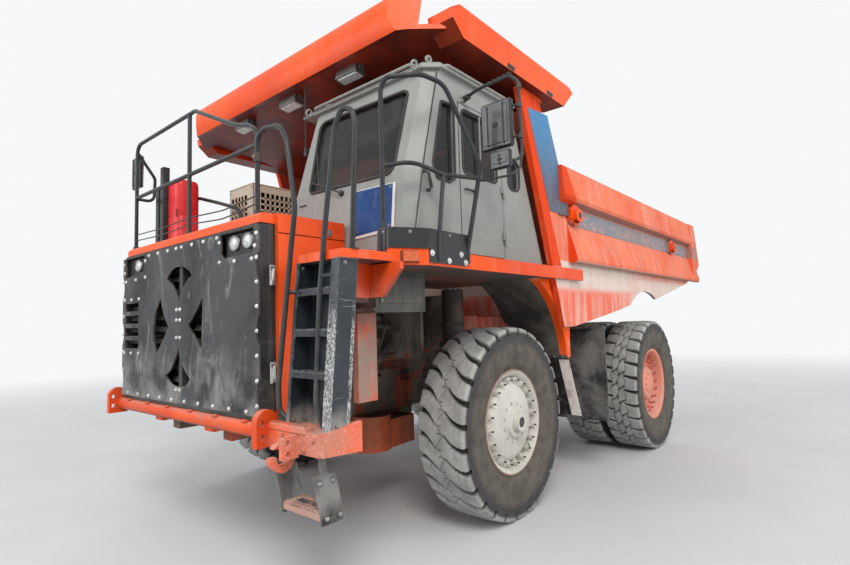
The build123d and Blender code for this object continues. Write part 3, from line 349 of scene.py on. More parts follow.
def plain_rubber(name, colour=(0.028, 0.027, 0.026), dusty=0.5, low=0.8, high=2.2):
    m = Look(name)
    grain = m.spots(5.0, 0.35, 0.65, 7.0, 0.66)
    m.tone = m.mix(m.mul(grain, m.line(m.range(m.z, high, low), 0.7, 0.2), dusty), colour, DUST)
    return m.done(m.range(grain, 0, 1, 0.55, 0.9), m.grain(55.0, 0.4, 0.002, 5.0))


def flap_rubber(name):
    """Rear flap: black rubber under dried pale mud in clouds and splashes."""
    m = Look(name)
    cloud = m.spots(2.4, 0.4, 0.64, 8.0, 0.66, None, 0.3)
    splash = m.spots(24.0, 0.56, 0.66, 6.0, 0.75)
    m.tone = m.mix(m.mul(cloud, 0.85), (0.026, 0.026, 0.025), (0.21, 0.2, 0.185))
    m.over((0.3, 0.29, 0.27), splash, m.line(m.range(m.z, 1.25, 0.75), 0.55, 0.15))
    return m.done(m.range(cloud, 0, 1, 0.55, 0.9), m.bump(m.line(splash, 0.4, cloud), 0.5, 0.008))


def sheet_steel(name):
    """Guard sheets: dark worn paint, pale smudges, dust low down, shallow dents."""
    m = Look(name, Specular_IOR_Level=0.22)
    m.base((0.014, 0.0145, 0.016), (0.052, 0.053, 0.054), 1.6, 0.32, 0.64, 6.0, 0.6, (1, 1, 0.7),
           0.5)
    m.over((0.27, 0.27, 0.265), m.spots(3.6, 0.54, 0.66, 8.0, 0.74, (1.3, 1.3, 0.45), 1.0), 0.65)
    scratch = m.spots(13.0, 0.63, 0.67, 5.0, 0.8, (0.6, 0.6, 6.0), 1.0)
    m.over((0.38, 0.37, 0.35), scratch, m.spots(1.9, 0.45, 0.6), 0.6)
    m.over((0.31, 0.305, 0.285), m.range(m.z, 1.85, 1.25), m.spots(4.0, 0.35, 0.65, 7.0), 0.6)
    m.over((0.33, 0.25, 0.2), m.worn(0.01, 16.0, 0.35, 0.55), 0.5)
    grain = m.grain(80.0, 0.2, 0.001, 5.0)
    dents = m.bump(m.noise(2.6, 2.0, 0.4, None, 0.6), 0.55, 0.05, grain)
    return m.done(m.gloss(7.0, 0.3, 0.34), dents)


def ladder_look(name):
    """Blue-black paint; the outer stile is rubbed to pale specks along its front and rear edges."""
    m = Look(name, Specular_IOR_Level=0.35)
    m.base((0.014, 0.018, 0.024), (0.03, 0.036, 0.044), 2.4, 0.35, 0.65, 6.0)
    depth = m.line(m.z, -0.0917, m.y)
    rubbed = m.most(m.range(depth, -4.398, -4.401), m.range(depth, -4.28, -4.27))
    zone = m.mul(m.range(m.x, 1.664, 1.667), rubbed, m.range(m.z, 2.06, 1.8))
    speck = m.mul(m.spots(95.0, 0.42, 0.6, 5.0, 0.8, (1, 1, 0.6)),
                  m.spots(13.0, 0.3, 0.5, 4.0, 0.55, (1, 1, 0.5)))
    m.over((0.56, 0.56, 0.54), zone, speck)
    scratch = m.spots(9.0, 0.61, 0.66, 5.0, 0.75, (0.5, 0.5, 8.0), 0.6)
    m.over((0.42, 0.42, 0.41), scratch, m.spots(2.2, 0.45, 0.6), 0.5)
    m.over((0.18, 0.175, 0.165), m.upward(), 0.7)
    m.over((0.36, 0.345, 0.32), m.range(m.z, 1.4, 1.21), m.spots(7.0, 0.35, 0.62, 6.0), 0.75)
    m.over((0.4, 0.39, 0.37), m.worn(0.008, 20.0, 0.4, 0.6), 0.5)
    return m.done(m.spots(12.0, 0.3, 0.7, to=(0.34, 0.62)), m.grain(90.0, 0.25, 0.001))


def bumper_look(name):
    """Bright orange, dusty along the tube, rubbed to pinkish white on the box under the ladder."""
    m = Look(name, Specular_IOR_Level=0.22)
    m.base((0.8, 0.09, 0.01), (0.66, 0.062, 0.008), 2.0, 0.32, 0.68)
    dust = m.spots(3.6, 0.42, 0.66, 7.0, 0.66, (0.6, 1, 1))
    m.over((0.33, 0.185, 0.135), dust, m.line(m.range(m.x, -0.35, 0.35), 0.6, 0.2))
    zone = m.range(m.x, 1.12, 1.42)
    rubbed = m.most(m.spots(34.0, 0.5, 0.68, 7.0, 0.82, (0.5, 0.5, 1.6), 2.4),
                    m.spots(9.0, 0.56, 0.68, 8.0, 0.74, None, 1.4))
    m.over((0.8, 0.24, 0.15), zone, 0.4)
    m.over((0.84, 0.58, 0.5), zone, rubbed, 0.6)
    m.over((0.5, 0.4, 0.34), m.upward(), 0.35)
    # painted shade on downward faces
    m.over((0.13, 0.06, 0.04), m.downward(), 0.8)
    m.over((0.22, 0.11, 0.08), m.worn(0.012, 14.0, 0.42, 0.62), 0.6)
    return m.done(m.range(rubbed, 0, 1, 0.46, 0.7), m.grain(50.0, 0.3, 0.002, 5.0))


def drum_look(name):
    """Round guard under the frame: dark oily top, orange-brown sides."""
    m = Look(name, Specular_IOR_Level=0.2)
    m.base((0.64, 0.125, 0.045), (0.36, 0.095, 0.048), 2.6, 0.36, 0.64, 7.0, 0.66)
    dust = m.spots(6.0, 0.46, 0.68, 6.0, 0.66, (1.4, 1.4, 0.3))
    m.over((0.36, 0.24, 0.17), dust, 0.4)
    m.over((0.034, 0.03, 0.027), m.upward(), 0.9)
    # painted shade on downward faces
    m.over((0.06, 0.04, 0.03), m.downward(), 0.7)
    return m.done(m.range(dust, 0, 1, 0.5, 0.8), m.grain(30.0, 0.4, 0.003, 6.0))


def lens_look(name, colour, cell=60.0):
    """Moulded lens with a ribbed face."""
    m = Look(name, IOR=1.49, Coat_Weight=0.8)
    rib = m.cells(cell)
    m.tone = m.mix(m.range(rib, 0.1, 0.7), colour, darker(colour, 0.55))
    m.over(DUST, m.spots(30.0, 0.5, 0.7, 5.0), 0.15)
    return m.done(m.range(rib, 0, 1, 0.08, 0.25), m.bump(rib, 0.4, 0.003))


def glass_look(name):
    """Tinted cab glass with patches of dust."""
    m = Look(name, Alpha=0.42, IOR=1.5)
    dirt = m.mul(m.spots(4.0, 0.52, 0.75, 7.0), 0.25)
    m.tone = m.mix(dirt, (0.012, 0.016, 0.016), (0.2, 0.19, 0.17))
    return m.done(m.range(dirt, 0.0, 0.25, 0.03, 0.35))


def plate_blue(name):
    m = Look(name, Specular_IOR_Level=0.15)
    m.base((0.004, 0.04, 0.17), (0.008, 0.056, 0.21), 2.5, 0.3, 0.7)
    dirt = m.mul(m.spots(12.0, 0.5, 0.72, 6.0), 0.25)
    m.over(DUST, dirt)
    return m.done(m.range(dirt, 0, 0.25, 0.4, 0.7), m.grain(50.0, 0.1, 0.001))


def faded_panel(name):
    """Sun-bleached blue panel, darker grey towards its foot."""
    m = Look(name)
    m.tone = m.mix(m.range(m.z, 3.0, 3.95), (0.075, 0.085, 0.115), (0.035, 0.19, 0.39))
    m.over((0.16, 0.19, 0.24), m.spots(6.0, 0.42, 0.7, 6.0, 0.6, (1, 1, 0.15)), 0.3)
    return m.done(m.spots(15.0, 0.3, 0.7, to=(0.35, 0.6)), m.grain(70.0, 0.2, 0.001))


def stripe_look(name):
    """Washed-out grey band along the body; its dark, pinkish tone is partly painted shade of the
    recess between the rails.
    """
    m = Look(name)
    along = m.spots(0.8, 0.35, 0.65, 5.0)
    m.tone = m.mix(along, (0.2, 0.185, 0.19), (0.19, 0.25, 0.31))
    # pinkish patches: partly painted shade of the recess
    m.over((0.34, 0.24, 0.22), m.spots(9.0, 0.45, 0.7, 6.0, 0.6, (1, 1, 0.12)), 0.5)
    m.over(FADED, m.spots(16.0, 0.55, 0.6, 7.0, 0.7), 0.6)
    return m.done(m.range(along, 0, 1, 0.5, 0.65), m.grain(60.0, 0.2, 0.001))


def cloth_look(name, colour):
    m = Look(name, Sheen_Weight=0.3)
    weave = m.noise(220.0, 2.0)
    m.tone = m.mix(m.range(weave, 0.35, 0.65), colour, darker(colour, 0.6))
    return m.done(m.range(weave, 0, 1, 0.8, 0.95), m.bump(weave, 0.4, 0.002))


LOOKS = {
    # orange and orange_deck: the underside colour is painted shade on downward faces, such as the
    # canopy's and the decks' undersides
    "orange": paint("orange_paint", ORANGE, ORANGE_DEEP, dusty=0.22, low=0.9, high=2.2, chips=0.35,
                    streaks=0.08, rough=0.38, underside_shade=(0.1, 0.012, 0.006)),
    "orange_deck": paint("orange_deck", ORANGE, ORANGE_DEEP, dust=(0.56, 0.49, 0.43), dusty=1.0,
                         low=1.7, high=2.26, streaks=0.1, film=0.05, under=(0.6, 0.06, 0.02),
                         underside_shade=(0.085, 0.08, 0.075), foot=(0.36, 0.27, 0.225)),
    "worn_pink": paint("worn_pink", (0.56, 0.28, 0.22), (0.38, 0.17, 0.13), dust=(0.44, 0.39, 0.34),
                       dusty=0.5, low=0.4, high=1.4, chips=0.8, rough=0.6),
    "rail_black": paint("rail_black", (0.022, 0.025, 0.027), (0.034, 0.037, 0.039), dusty=0.2,
                        low=0.9, high=2.6, chips=0.25, under=(0.16, 0.15, 0.14), rough=0.3,
                        streaks=0.05, film=0.1),
    "faded_orange": body_paint("faded_paint"),
    "grey": paint("cab_paint", CAB_GREY, (0.245, 0.252, 0.238), dust=(0.42, 0.41, 0.37), dusty=0.3,
                  low=2.2, high=3.2, chips=0.22, streaks=0.18),
    "black": paint("black_paint", BLACK, (0.026, 0.027, 0.028), dusty=0.22, low=0.9, high=2.6,
                   chips=0.45, under=(0.12, 0.08, 0.06), rough=0.4, scuffs=0.25, streaks=0.1,
                   film=0.12),
    "sheet": sheet_steel("guard_steel"),
    "rim_edge": paint("rim_edge", (0.4, 0.23, 0.19), (0.26, 0.16, 0.13), dusty=0.4, low=0.4,
                      high=1.4, chips=0.8, rough=0.6),
    "ladder": ladder_look("ladder_paint"),
    "bumper": bumper_look("bumper_paint"),
    "drum": drum_look("drum_paint"),
    "bolt": metal_look("bright_bolt", (0.66, 0.66, 0.64), (0.46, 0.46, 0.45), 0.4, 0.35,
                       spotty=0.25),
    "gloss": metal_look("gloss_plastic", (0.05, 0.052, 0.054), (0.036, 0.037, 0.039), 0.16, 0.5,
                        (0.12, 0.12, 0.115), 0.2),
    "steel": metal_look("steel", (0.3, 0.3, 0.29), (0.19, 0.185, 0.18), 0.42),
    "iron": metal_look("iron", (0.075, 0.065, 0.056), (0.04, 0.035, 0.032), 0.62, 0.35,
                       (0.15, 0.07, 0.035)),
    "frame_dirt": frame_look("frame_dirt"),
    "fender": fender_look("fender_paint"),
    "rim_grey": paint("rim_paint", RIM, (0.5, 0.48, 0.43), dust=(0.4, 0.35, 0.28), low=0.2,
                      high=1.4, chips=0.45, under=(0.2, 0.14, 0.1), streaks=0.25, rough=0.5),
    "rim_orange": paint("rim_orange", (0.78, 0.26, 0.18), (0.6, 0.17, 0.11),
                        dust=(0.55, 0.43, 0.36), dusty=0.55, low=0.2, high=1.6, chips=0.4,
                        streaks=0.2, rough=0.5),
    "tyre": tyre_rubber("tyre_rubber", (0.41, 0.405, 0.385), (0.112, 0.096, 0.078)),
    "rubber": plain_rubber("rubber"),
    "flap": flap_rubber("flap_rubber"),
    "glass": glass_look("cab_glass_tint"),
    "trim": plain_rubber("trim_plastic", (0.02, 0.02, 0.021), 0.3, 2.2, 3.6),
    "lamp": lens_look("lamp_lens", (0.72, 0.74, 0.74)),
    "amber": lens_look("amber_lens", (0.84, 0.13, 0.012), 90.0),
    "red": paint("red_paint", (0.76, 0.026, 0.034), (0.64, 0.018, 0.024), dusty=0.15, low=2.6,
                 high=3.2, chips=0.12, rough=0.32, streaks=0.1),
    "beige": paint("beige_paint", (0.52, 0.46, 0.36), (0.42, 0.37, 0.29), dusty=0.3, low=2.6,
                   high=3.2, chips=0.3, rough=0.5),
    "box_grey": paint("box_paint", (0.07, 0.072, 0.07), (0.05, 0.052, 0.052), dusty=0.3, low=1.8,
                      high=2.4, chips=0.4, rough=0.45),
    "plate_blue": plate_blue("plate_blue"),
    "panel_blue": faded_panel("panel_blue"),
    "stripe": stripe_look("stripe_band"),
    "white": paint("white_paint", (0.74, 0.74, 0.72), (0.62, 0.62, 0.6), dusty=0.3, low=2.2,
                   high=3.0, chips=0.2, rough=0.45),
    "seat_cloth": cloth_look("seat_cloth", (0.03, 0.032, 0.036)),
    "chrome": metal_look("rod_chrome", (0.62, 0.62, 0.63), (0.5, 0.5, 0.51), 0.22, 1.0,
                         spotty=0.12),
}

# Node -> look, where it isn't the record's slot of the same name
NODE_LOOKS = {
    "guard_panels": "sheet", "frame_rails": "frame_dirt", "frame_members": "frame_dirt",
    "front_arms": "drum", "front_bumper": "bumper", "rear_axle": "frame_dirt",
    "belly_guard": "frame_dirt", "engine": "frame_dirt", "ladder": "ladder",
    "hanging_step": "sheet", "rear_flaps": "flap", "canopy": "orange",
    "underdeck_boxes": "box_grey", "deck_left": "orange_deck", "deck_right": "orange_deck",
    "fenders": "fender", "rims_rear_left": "rim_orange", "rims_rear_right": "rim_orange",
    "hoist_tip_left": "chrome", "hoist_tip_right": "chrome",
}
for name, o in NODES.items():
    for s in o.material_slots:
        s.material = LOOKS[NODE_LOOKS.get(name) or s.material.name.split(".")[0]]


# Mesh building

X, Y, Z = (Vector(axis) for axis in ((1, 0, 0), (0, 1, 0), (0, 0, 1)))


def placed(name, data):
    o = bpy.data.objects.new(name, data)
    bpy.context.scene.collection.objects.link(o)
    return o


def shaded(name, points, faces, looks, sharp):
    """Smooth-shaded mesh object, with edges kept sharp past an angle in degrees."""
    mesh = bpy.data.meshes.new(name)
    mesh.from_pydata(points, [], faces)
    for look in looks:
        mesh.materials.append(LOOKS[look])
    mesh.polygons.foreach_set("use_smooth", [True] * len(mesh.polygons))
    mesh.set_sharp_from_angle(angle=math.radians(sharp))
    mesh.update()
    return placed(name, mesh)


def loop(middle, u, v, count, shift=0.0, extra=0):
    """Points round an ellipse with the half axes u and v."""
    middle, u, v = Vector(middle), Vector(u), Vector(v)
    turns = (2 * math.pi * (k + shift) / count for k in range(count + extra))
    return [middle + u * math.cos(a) + v * math.sin(a) for a in turns]


def sleeve(rings, n, first=True, last=True):
    """Faces round a stack of rings of n points, closed at its first and last ring."""
    faces = [[i * n + k, i * n + (k + 1) % n, (i + 1) * n + (k + 1) % n, (i + 1) * n + k]
             for i in range(rings - 1) for k in range(n)]
    if first:
        faces.append(list(range(n))[::-1])
    if last:
        faces.append([(rings - 1) * n + k for k in range(n)])
    return faces


def convex(points):
    """Faces of the convex hull of a few points."""
    bm = bmesh.new()
    verts = [bm.verts.new(p) for p in points]
    bm.verts.index_update()
    bmesh.ops.convex_hull(bm, input=verts)
    faces = [[v.index for v in f.verts] for f in bm.faces]
    bm.free()
    return faces


def bent(points, radius):
    """Route through the points with each corner turned as an arc."""
    points = [Vector(p) for p in points]
    route = [points[0]]
    for before, here, after in zip(points, points[1:], points[2:]):
        a, b = before - here, after - here
        angle = a.angle(b)
        if angle > math.radians(176):
            route.append(here)
            continue
        cut = min(radius / math.tan(angle / 2), 0.45 * a.length, 0.45 * b.length)
        r = cut * math.tan(angle / 2)
        a.normalize()
        b.normalize()
        centre = here + (a + b).normalized() * (r / math.sin(angle / 2))
        start, end = here + a * cut - centre, here + b * cut - centre
        turn = math.pi - angle
        steps = max(2, math.ceil(turn / math.radians(14)))
        for k in range(steps + 1):
            t = turn * k / steps
            arc = start * math.sin(turn - t) + end * math.sin(t)
            route.append(centre + arc / math.sin(turn))
    route.append(points[-1])
    return route


class Piece:
    """Collects rings, tubes, plates and bolts into one mesh, each part with its look."""

    def __init__(self, name):
        self.name = name
        self.points = []
        self.faces = []
        self.looks = []
        self.index = []

    def add(self, points, faces, look):
        if look not in self.looks:
            self.looks.append(look)
        base = len(self.points)
        self.points.extend(Vector(p) for p in points)
        self.faces.extend([base + i for i in f] for f in faces)
        self.index.extend([self.looks.index(look)] * len(faces))

    def mirror(self):
        """Doubles what is there across the frame's middle."""
        base = len(self.points)
        self.points += [Vector((-p.x, p.y, p.z)) for p in self.points]
        self.faces += [[base + i for i in f[::-1]] for f in self.faces]
        self.index += self.index

    def prism(self, outline, lift, look, taper=0.0):
        """Outline of 3-D points pushed along the vector lift."""
        n = len(outline)
        low = [Vector(p) for p in outline]
        lift = Vector(lift)
        middle = sum(low, Vector()) / n
        high = [p + lift + (middle - p) * taper for p in low]
        faces = sleeve(2, n)
        area = Vector()
        for a, b in zip(low, low[1:] + low[:1]):
            area += (a - middle).cross(b - middle)
        if area.dot(lift) < 0:
            faces = [f[::-1] for f in faces]
        self.add(low + high, faces, look)

    def block(self, corner, other, look, edge=0.004):
        """Box with softened edges between two corners."""
        low, high = (Vector(map(pick, corner, other)) for pick in (min, max))
        e = min(edge, *(0.3 * (h - l) for l, h in zip(low, high)))
        points = []
        for corner in ((x, y, z) for x in (0, 1) for y in (0, 1) for z in (0, 1)):
            base = Vector(h if c else l for c, l, h in zip(corner, low, high))
            inward = Vector(-e if c else e for c in corner)
            for axis in range(3):
                p = base + inward
                p[axis] = base[axis]
                points.append(p)
        self.add(points, convex(points), look)

    def tube(self, points, r, look, bend=0.09, sides=12, caps=True):
        """Round bar along a route whose corners are bent to the given radius."""
        route = bent(points, bend)
        side = Z if abs((route[1] - route[0]).normalized().z) < 0.9 else X
        rings = []
        for i, p in enumerate(route):
            ahead = (route[min(i + 1, len(route) - 1)] - route[max(i - 1, 0)]).normalized()
            side = (side - ahead * side.dot(ahead)).normalized()
            rings += loop(p, side * r, ahead.cross(side) * r, sides)
        self.add(rings, sleeve(len(route), sides, caps, caps), look)

    def lathe(self, profile, middle, axis, look, sides=32):
        """Profile of (along, radius) points turned about an axis through middle."""
        axis = Vector(axis).normalized()
        side = axis.orthogonal().normalized()
        up = axis.cross(side)
        rings = []
        for along, r in profile:
            rings += loop(Vector(middle) + axis * along, side * r, up * r, sides)
        self.add(rings, sleeve(len(profile), sides, profile[0][1] > 0, profile[-1][1] > 0), look)

    def bolt(self, at, axis, look, r=0.012, h=0.01):
        """Hex head on a washer."""
        self.lathe([(0, r * 1.7), (h * 0.25, r * 1.7), (h * 0.3, r * 1.55)], at, axis, look, 14)
        top = Vector(at) + Vector(axis).normalized() * h * 0.3
        self.lathe([(0, r * 1.12), (h * 0.8, r * 1.12), (h, r * 0.9)], top, axis, look, 6)

    def bolts(self, places, axis, look, r, h):
        for at in places:
            self.bolt(at, axis, look, r, h)

    def make(self, body, *nodes, slot=None, sharp=35):
        points = [tuple(p - ORIGIN) for p in self.points]
        o = shaded(self.name, points, self.faces, self.looks, sharp)
        o.data.polygons.foreach_set("material_index", self.index)
        o.data.update()
        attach(o, body)
        if nodes:
            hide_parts(*nodes)
        return o


# Tyres: a grid round the wheel, its grooves pressed in by depth

TYRE_R = 0.9
AXLE_Z = TYRE_R
FRONT_X = 1.64
REAR_X = 1.88
REAR_IN_X = REAR_X - 0.585
REAR_Y = 3.5

# Sidewall from the shoulder to the bead: outwards of the tread's edge, below the tread, place on
# the wall 0..1 and share of the grooves' depth
WALL = [
    (-0.006, 0.018, 0.02, 1.0), (0.0, 0.04, 0.05, 0.85), (0.0, 0.062, 0.1, 0.45),
    (-0.003, 0.078, 0.14, 0.0), (-0.004, 0.1, 0.2, 0.0), (-0.001, 0.115, 0.26, 0.0),
    (0.001, 0.16, 0.4, 0.0), (0.001, 0.22, 0.55, 0.0), (-0.004, 0.28, 0.7, 0.0),
    (-0.008, 0.288, 0.72, 0.0), (-0.016, 0.33, 0.8, 0.0), (-0.03, 0.365, 0.88, 0.0),
    (-0.036, 0.37, 0.9, 0.0), (-0.046, 0.399, 0.94, 0.0), (-0.062, 0.421, 1.0, 0.0),
    (-0.075, 0.435, 1.0, 0.0),
]


def near(value, width, soft):
    """1 inside a groove of that width, falling to 0 over soft."""
    return np.clip((width / 2 + soft / 2 - np.abs(value)) / soft, 0, 1)


def fold(turn, pitch, phase):
    """Distance along the tread to the nearest groove of a row."""
    along = turn / pitch - phase
    return (along - np.round(along)) * pitch


def front_grooves(turn, x):
    """Depth 0..1 of the steered tyre's pattern; turn is metres along the tread, x across it."""
    pitch = 2 * math.pi * TYRE_R / 28
    deep = np.zeros_like(x)
    fine = np.zeros_like(x)
    for side, phase in ((1, 0.0), (-1, 0.5)):
        u = side * x
        t = np.clip((u - 0.055) / 0.2, 0, 1)
        along = fold(turn - side * 0.115 * (1 - (1 - t) ** 2), pitch, phase)
        deep = np.maximum(deep, near(along, 0.02 + 0.034 * t, 0.01) * (u > 0.052))
        back = fold(turn + side * 0.02 * np.cos(u * 30), pitch, phase)
        fine = np.maximum(fine, near(back, 0.008, 0.006) * (u > -0.02) * (u < 0.06))
        wave = u - 0.135 + 0.012 * np.sign(np.sin(2 * math.pi * turn / pitch))
        fine = np.maximum(fine, near(wave, 0.004, 0.005) * (along > 0.01))
    zigzag = x - 0.035 * (2 * np.abs(turn / pitch % 1 * 2 - 1) - 1)
    return deep, np.maximum(fine, near(zigzag, 0.006, 0.006))


def rear_grooves(turn, x):
    """Depth of the driven tyres' pattern: shoulder lugs round a row of six-sided blocks."""
    pitch = 2 * math.pi * TYRE_R / 30
    saw = 2 * np.abs(turn / pitch % 1 * 2 - 1) - 1
    deep = np.zeros_like(x)
    fine = near(x - 0.022 * saw, 0.014, 0.008)
    for side, phase in ((1, 0.0), (-1, 0.5)):
        u = side * x
        t = np.clip((u - 0.08) / 0.16, 0, 1)
        along = fold(turn - side * 0.03 * np.sin(t * math.pi / 2), pitch, phase)
        deep = np.maximum(deep, near(along, 0.02 + 0.026 * t, 0.01) * (u > 0.078))
        cross = fold(turn + side * 0.05 * u / 0.08, pitch, phase)
        deep = np.maximum(deep, 0.75 * near(cross, 0.016, 0.01) * (u >= 0) * (u < 0.09))
        fine = np.maximum(fine, near(u - 0.088 + 0.012 * saw * side, 0.01, 0.008))
    return deep, fine * 0.8


def tyre_mesh(name, body, node, middles, y, w, grooves, around, across, sign):
    """Twin or single tyre built from one grid per middle."""
    h = w / 2
    edge = h - 0.018
    crown = [(x, TYRE_R - 0.01 * (x / h) ** 4, 0.0, 1.0)
             for x in np.linspace(-edge, edge, across + 1)]
    wall = [(h + out, TYRE_R - down, ring, press) for out, down, ring, press in WALL]
    profile = [(-x, *row) for x, *row in wall[::-1]] + crown + wall
    px, pr, ring, press = (np.array(c) for c in zip(*profile))
    rows = len(profile)
    angle = 2 * math.pi * np.arange(around) / around
    turn, x = np.meshgrid(angle * TYRE_R, px, indexing="ij")
    deep, fine = grooves(turn, x)
    radius = pr - 0.042 * deep * press - 0.012 * fine * (press > 0.9)
    sunk = np.maximum(deep * (press > 0.3), fine * 0.8 * (press > 0.9))
    rib = 0.0015 * (np.sin(angle * 150) > 0)[:, None] * ((ring > 0.82) & (ring < 0.93))
    x = x - np.sign(x) * (0.02 * deep * ((ring > 0.01) & (ring < 0.12)) - rib)
    i, k = np.meshgrid(np.arange(around), np.arange(rows - 1), indexing="ij")
    j = (i + 1) % around
    quad = np.stack([i * rows + k, j * rows + k, j * rows + k + 1, i * rows + k + 1], axis=-1)
    quad = quad[..., ::-sign].reshape(-1, 4)
    points = []
    for count, middle in enumerate(middles):
        turned = (angle + 0.37 * count)[:, None]
        place = (sign * (middle + x) - ORIGIN.x, y - ORIGIN.y + radius * np.cos(turned),
                 AXLE_Z + radius * np.sin(turned))
        points.append(np.stack(place, axis=-1).reshape(-1, 3))
    faces = np.concatenate([quad + n * around * rows for n in range(len(middles))])
    o = shaded(name, np.concatenate(points).tolist(), faces.tolist(), ["tyre"], 40)
    for key, values in (("groove", sunk), ("ring", np.broadcast_to(ring, x.shape))):
        layer = o.data.attributes.new(key, "FLOAT", "POINT")
        layer.data.foreach_set("value", np.tile(values.ravel(), len(middles)).astype(np.float32))
    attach(o, body)
    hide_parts(node)


for side, sign in (("left", 1), ("right", -1)):
    tyre_mesh(f"tread_front_{side}", f"wheel_front_{side}", f"tyre_front_{side}", [FRONT_X], 0.0,
              0.5, front_grooves, 672, 56, sign)
    tyre_mesh(f"tread_rear_{side}", f"wheels_rear_{side}", f"tyres_rear_{side}",
              [REAR_X, REAR_IN_X], REAR_Y, 0.48, rear_grooves, 540, 44, sign)


# Rims

def wheel_circle(middle, r, count, shift=0.0, extra=0):
    return loop(middle, Y * r, Z * r, count, shift, extra)


def clamps(p, middle, r, count, shift, foot, lift, look, taper):
    """Wedge-shaped rim clamps in a circle; returns the middles of their feet. A foot is the
    way in, its half width there, the way out and its half width there."""
    middles = wheel_circle(middle, r, count, shift)
    inner, inner_half, outer, outer_half = foot
    corners = ((-inner, -inner_half), (outer, -outer_half), (outer, outer_half),
               (-inner, inner_half))
    for c in middles:
        radial = (c - middle).normalized()
        tangent = X.cross(radial)
        p.prism([c + radial * dr + tangent * dt for dr, dt in corners], lift, look, taper)
    return middles


def front_rim(side, out):
    p = Piece(f"disc_front_{side}")
    at = out * FRONT_X + Z * AXLE_Z
    p.lathe([(-0.19, 0.42), (-0.19, 0.5), (-0.175, 0.505), (-0.17, 0.47), (0.15, 0.455),
             (0.172, 0.462), (0.192, 0.478), (0.2, 0.49), (0.206, 0.492), (0.21, 0.484),
             (0.206, 0.468), (0.196, 0.455), (0.186, 0.446), (0.178, 0.436), (0.15, 0.424),
             (0.128, 0.42), (0.12, 0.405), (0.124, 0.392), (0.15, 0.372), (0.172, 0.35),
             (0.184, 0.325), (0.19, 0.29), (0.196, 0.24), (0.204, 0.2), (0.208, 0.165),
             (0.222, 0.15), (0.236, 0.142), (0.24, 0.12), (0.244, 0.1), (0.27, 0.094),
             (0.292, 0.086), (0.294, 0.056), (0.288, 0.047), (0.18, 0.044), (0.178, 0.0)],
            at, out, "rim_grey", 96)
    p.tube(wheel_circle(at + out * 0.2015, 0.4855, 64, extra=1), 0.0105, "rim_edge", 0.5, 10,
           caps=False)
    p.lathe([(0.289, 0.048), (0.2, 0.046), (0.196, 0.0)], at, out, "trim", 24)
    for c in clamps(p, at + out * 0.125, 0.392, 20, 0.25, (0.036, 0.022, 0.034, 0.028), out * 0.052,
                    "rim_grey", 0.18):
        p.lathe([(0.052, 0.022), (0.058, 0.022), (0.06, 0.018)], c, out, "rim_grey", 12)
        p.lathe([(0.058, 0.017), (0.078, 0.017), (0.08, 0.013)], c, out, "rim_grey", 6)
        p.lathe([(0.078, 0.009), (0.1, 0.009), (0.103, 0.006)], c, out, "iron", 8)
    p.bolts(wheel_circle(at + out * 0.204, 0.18, 12, 0.5), out, "rim_grey", 0.011, 0.012)
    valve = at + Vector((0, 0.3, -0.3)) + out * 0.14
    p.tube([valve, valve + out * 0.05, valve + out * 0.06 + Vector((0, -0.05, 0.05))], 0.007,
           "steel", 0.02, 8)
    p.lathe([(-0.25, 0.12), (-0.25, 0.205), (-0.06, 0.215), (-0.04, 0.3), (0.11, 0.33),
             (0.118, 0.405)], at, out, "iron", 48)
    p.make(f"wheel_front_{side}", f"rim_front_{side}", slot="rim_grey")


def rear_rim(side, out):
    p = Piece(f"disc_rear_{side}")
    at, inner = (out * x + Y * REAR_Y + Z * AXLE_Z for x in (REAR_X, REAR_IN_X))
    for middle in (at, inner):
        p.lathe([(-0.18, 0.42), (-0.182, 0.492), (-0.172, 0.5), (-0.166, 0.47), (0.14, 0.455),
                 (0.168, 0.47), (0.182, 0.494), (0.192, 0.494), (0.194, 0.48), (0.186, 0.462),
                 (0.174, 0.45), (0.15, 0.44), (0.06, 0.432), (0.03, 0.42), (0.01, 0.392),
                 (-0.15, 0.392)], middle, out, "rim_orange", 80)
    p.lathe([(-0.42, 0.38), (-0.42, 0.432), (0.03, 0.432), (0.034, 0.385), (0.02, 0.375),
             (0.015, 0.3), (0.03, 0.262), (0.04, 0.24), (0.1, 0.226), (0.118, 0.21), (0.122, 0.15),
             (0.134, 0.12), (0.148, 0.1), (0.152, 0.05), (0.15, 0.0)], at, out, "rim_orange", 80)
    p.lathe([(-0.62, 0.22), (-0.6, 0.26), (-0.1, 0.27), (-0.06, 0.4), (-0.02, 0.41)], at, out,
            "iron", 48)
    for c in clamps(p, at + out * 0.03, 0.404, 22, 0.0, (0.03, 0.02, 0.026, 0.026), out * 0.04,
                    "rim_orange", 0.15):
        p.lathe([(0.04, 0.016), (0.06, 0.016), (0.062, 0.012)], c, out, "rim_orange", 6)
        p.lathe([(0.06, 0.008), (0.084, 0.008)], c, out, "iron", 8)
    p.bolts(wheel_circle(at + out * 0.026, 0.275, 24, 0.5), out, "rim_orange", 0.012, 0.014)
    p.bolts(wheel_circle(at + out * 0.13, 0.132, 10), out, "rim_orange", 0.009, 0.01)
    p.make(f"wheels_rear_{side}", f"rims_rear_{side}", slot="rim_grey")


for side, out in (("left", X), ("right", -X)):
    front_rim(side, out)
    rear_rim(side, out)


# Handrails: bent pipe where the frame has mitred bars

NOSE_Y = -2.36
RAIL_Y = -2.25
HOOD_Z = 2.7
HOOP_Y = -2.28
PIPE = 0.0185
FAR_POST, MID_POST, NEAR_POST = -1.225, -0.045, 1.06

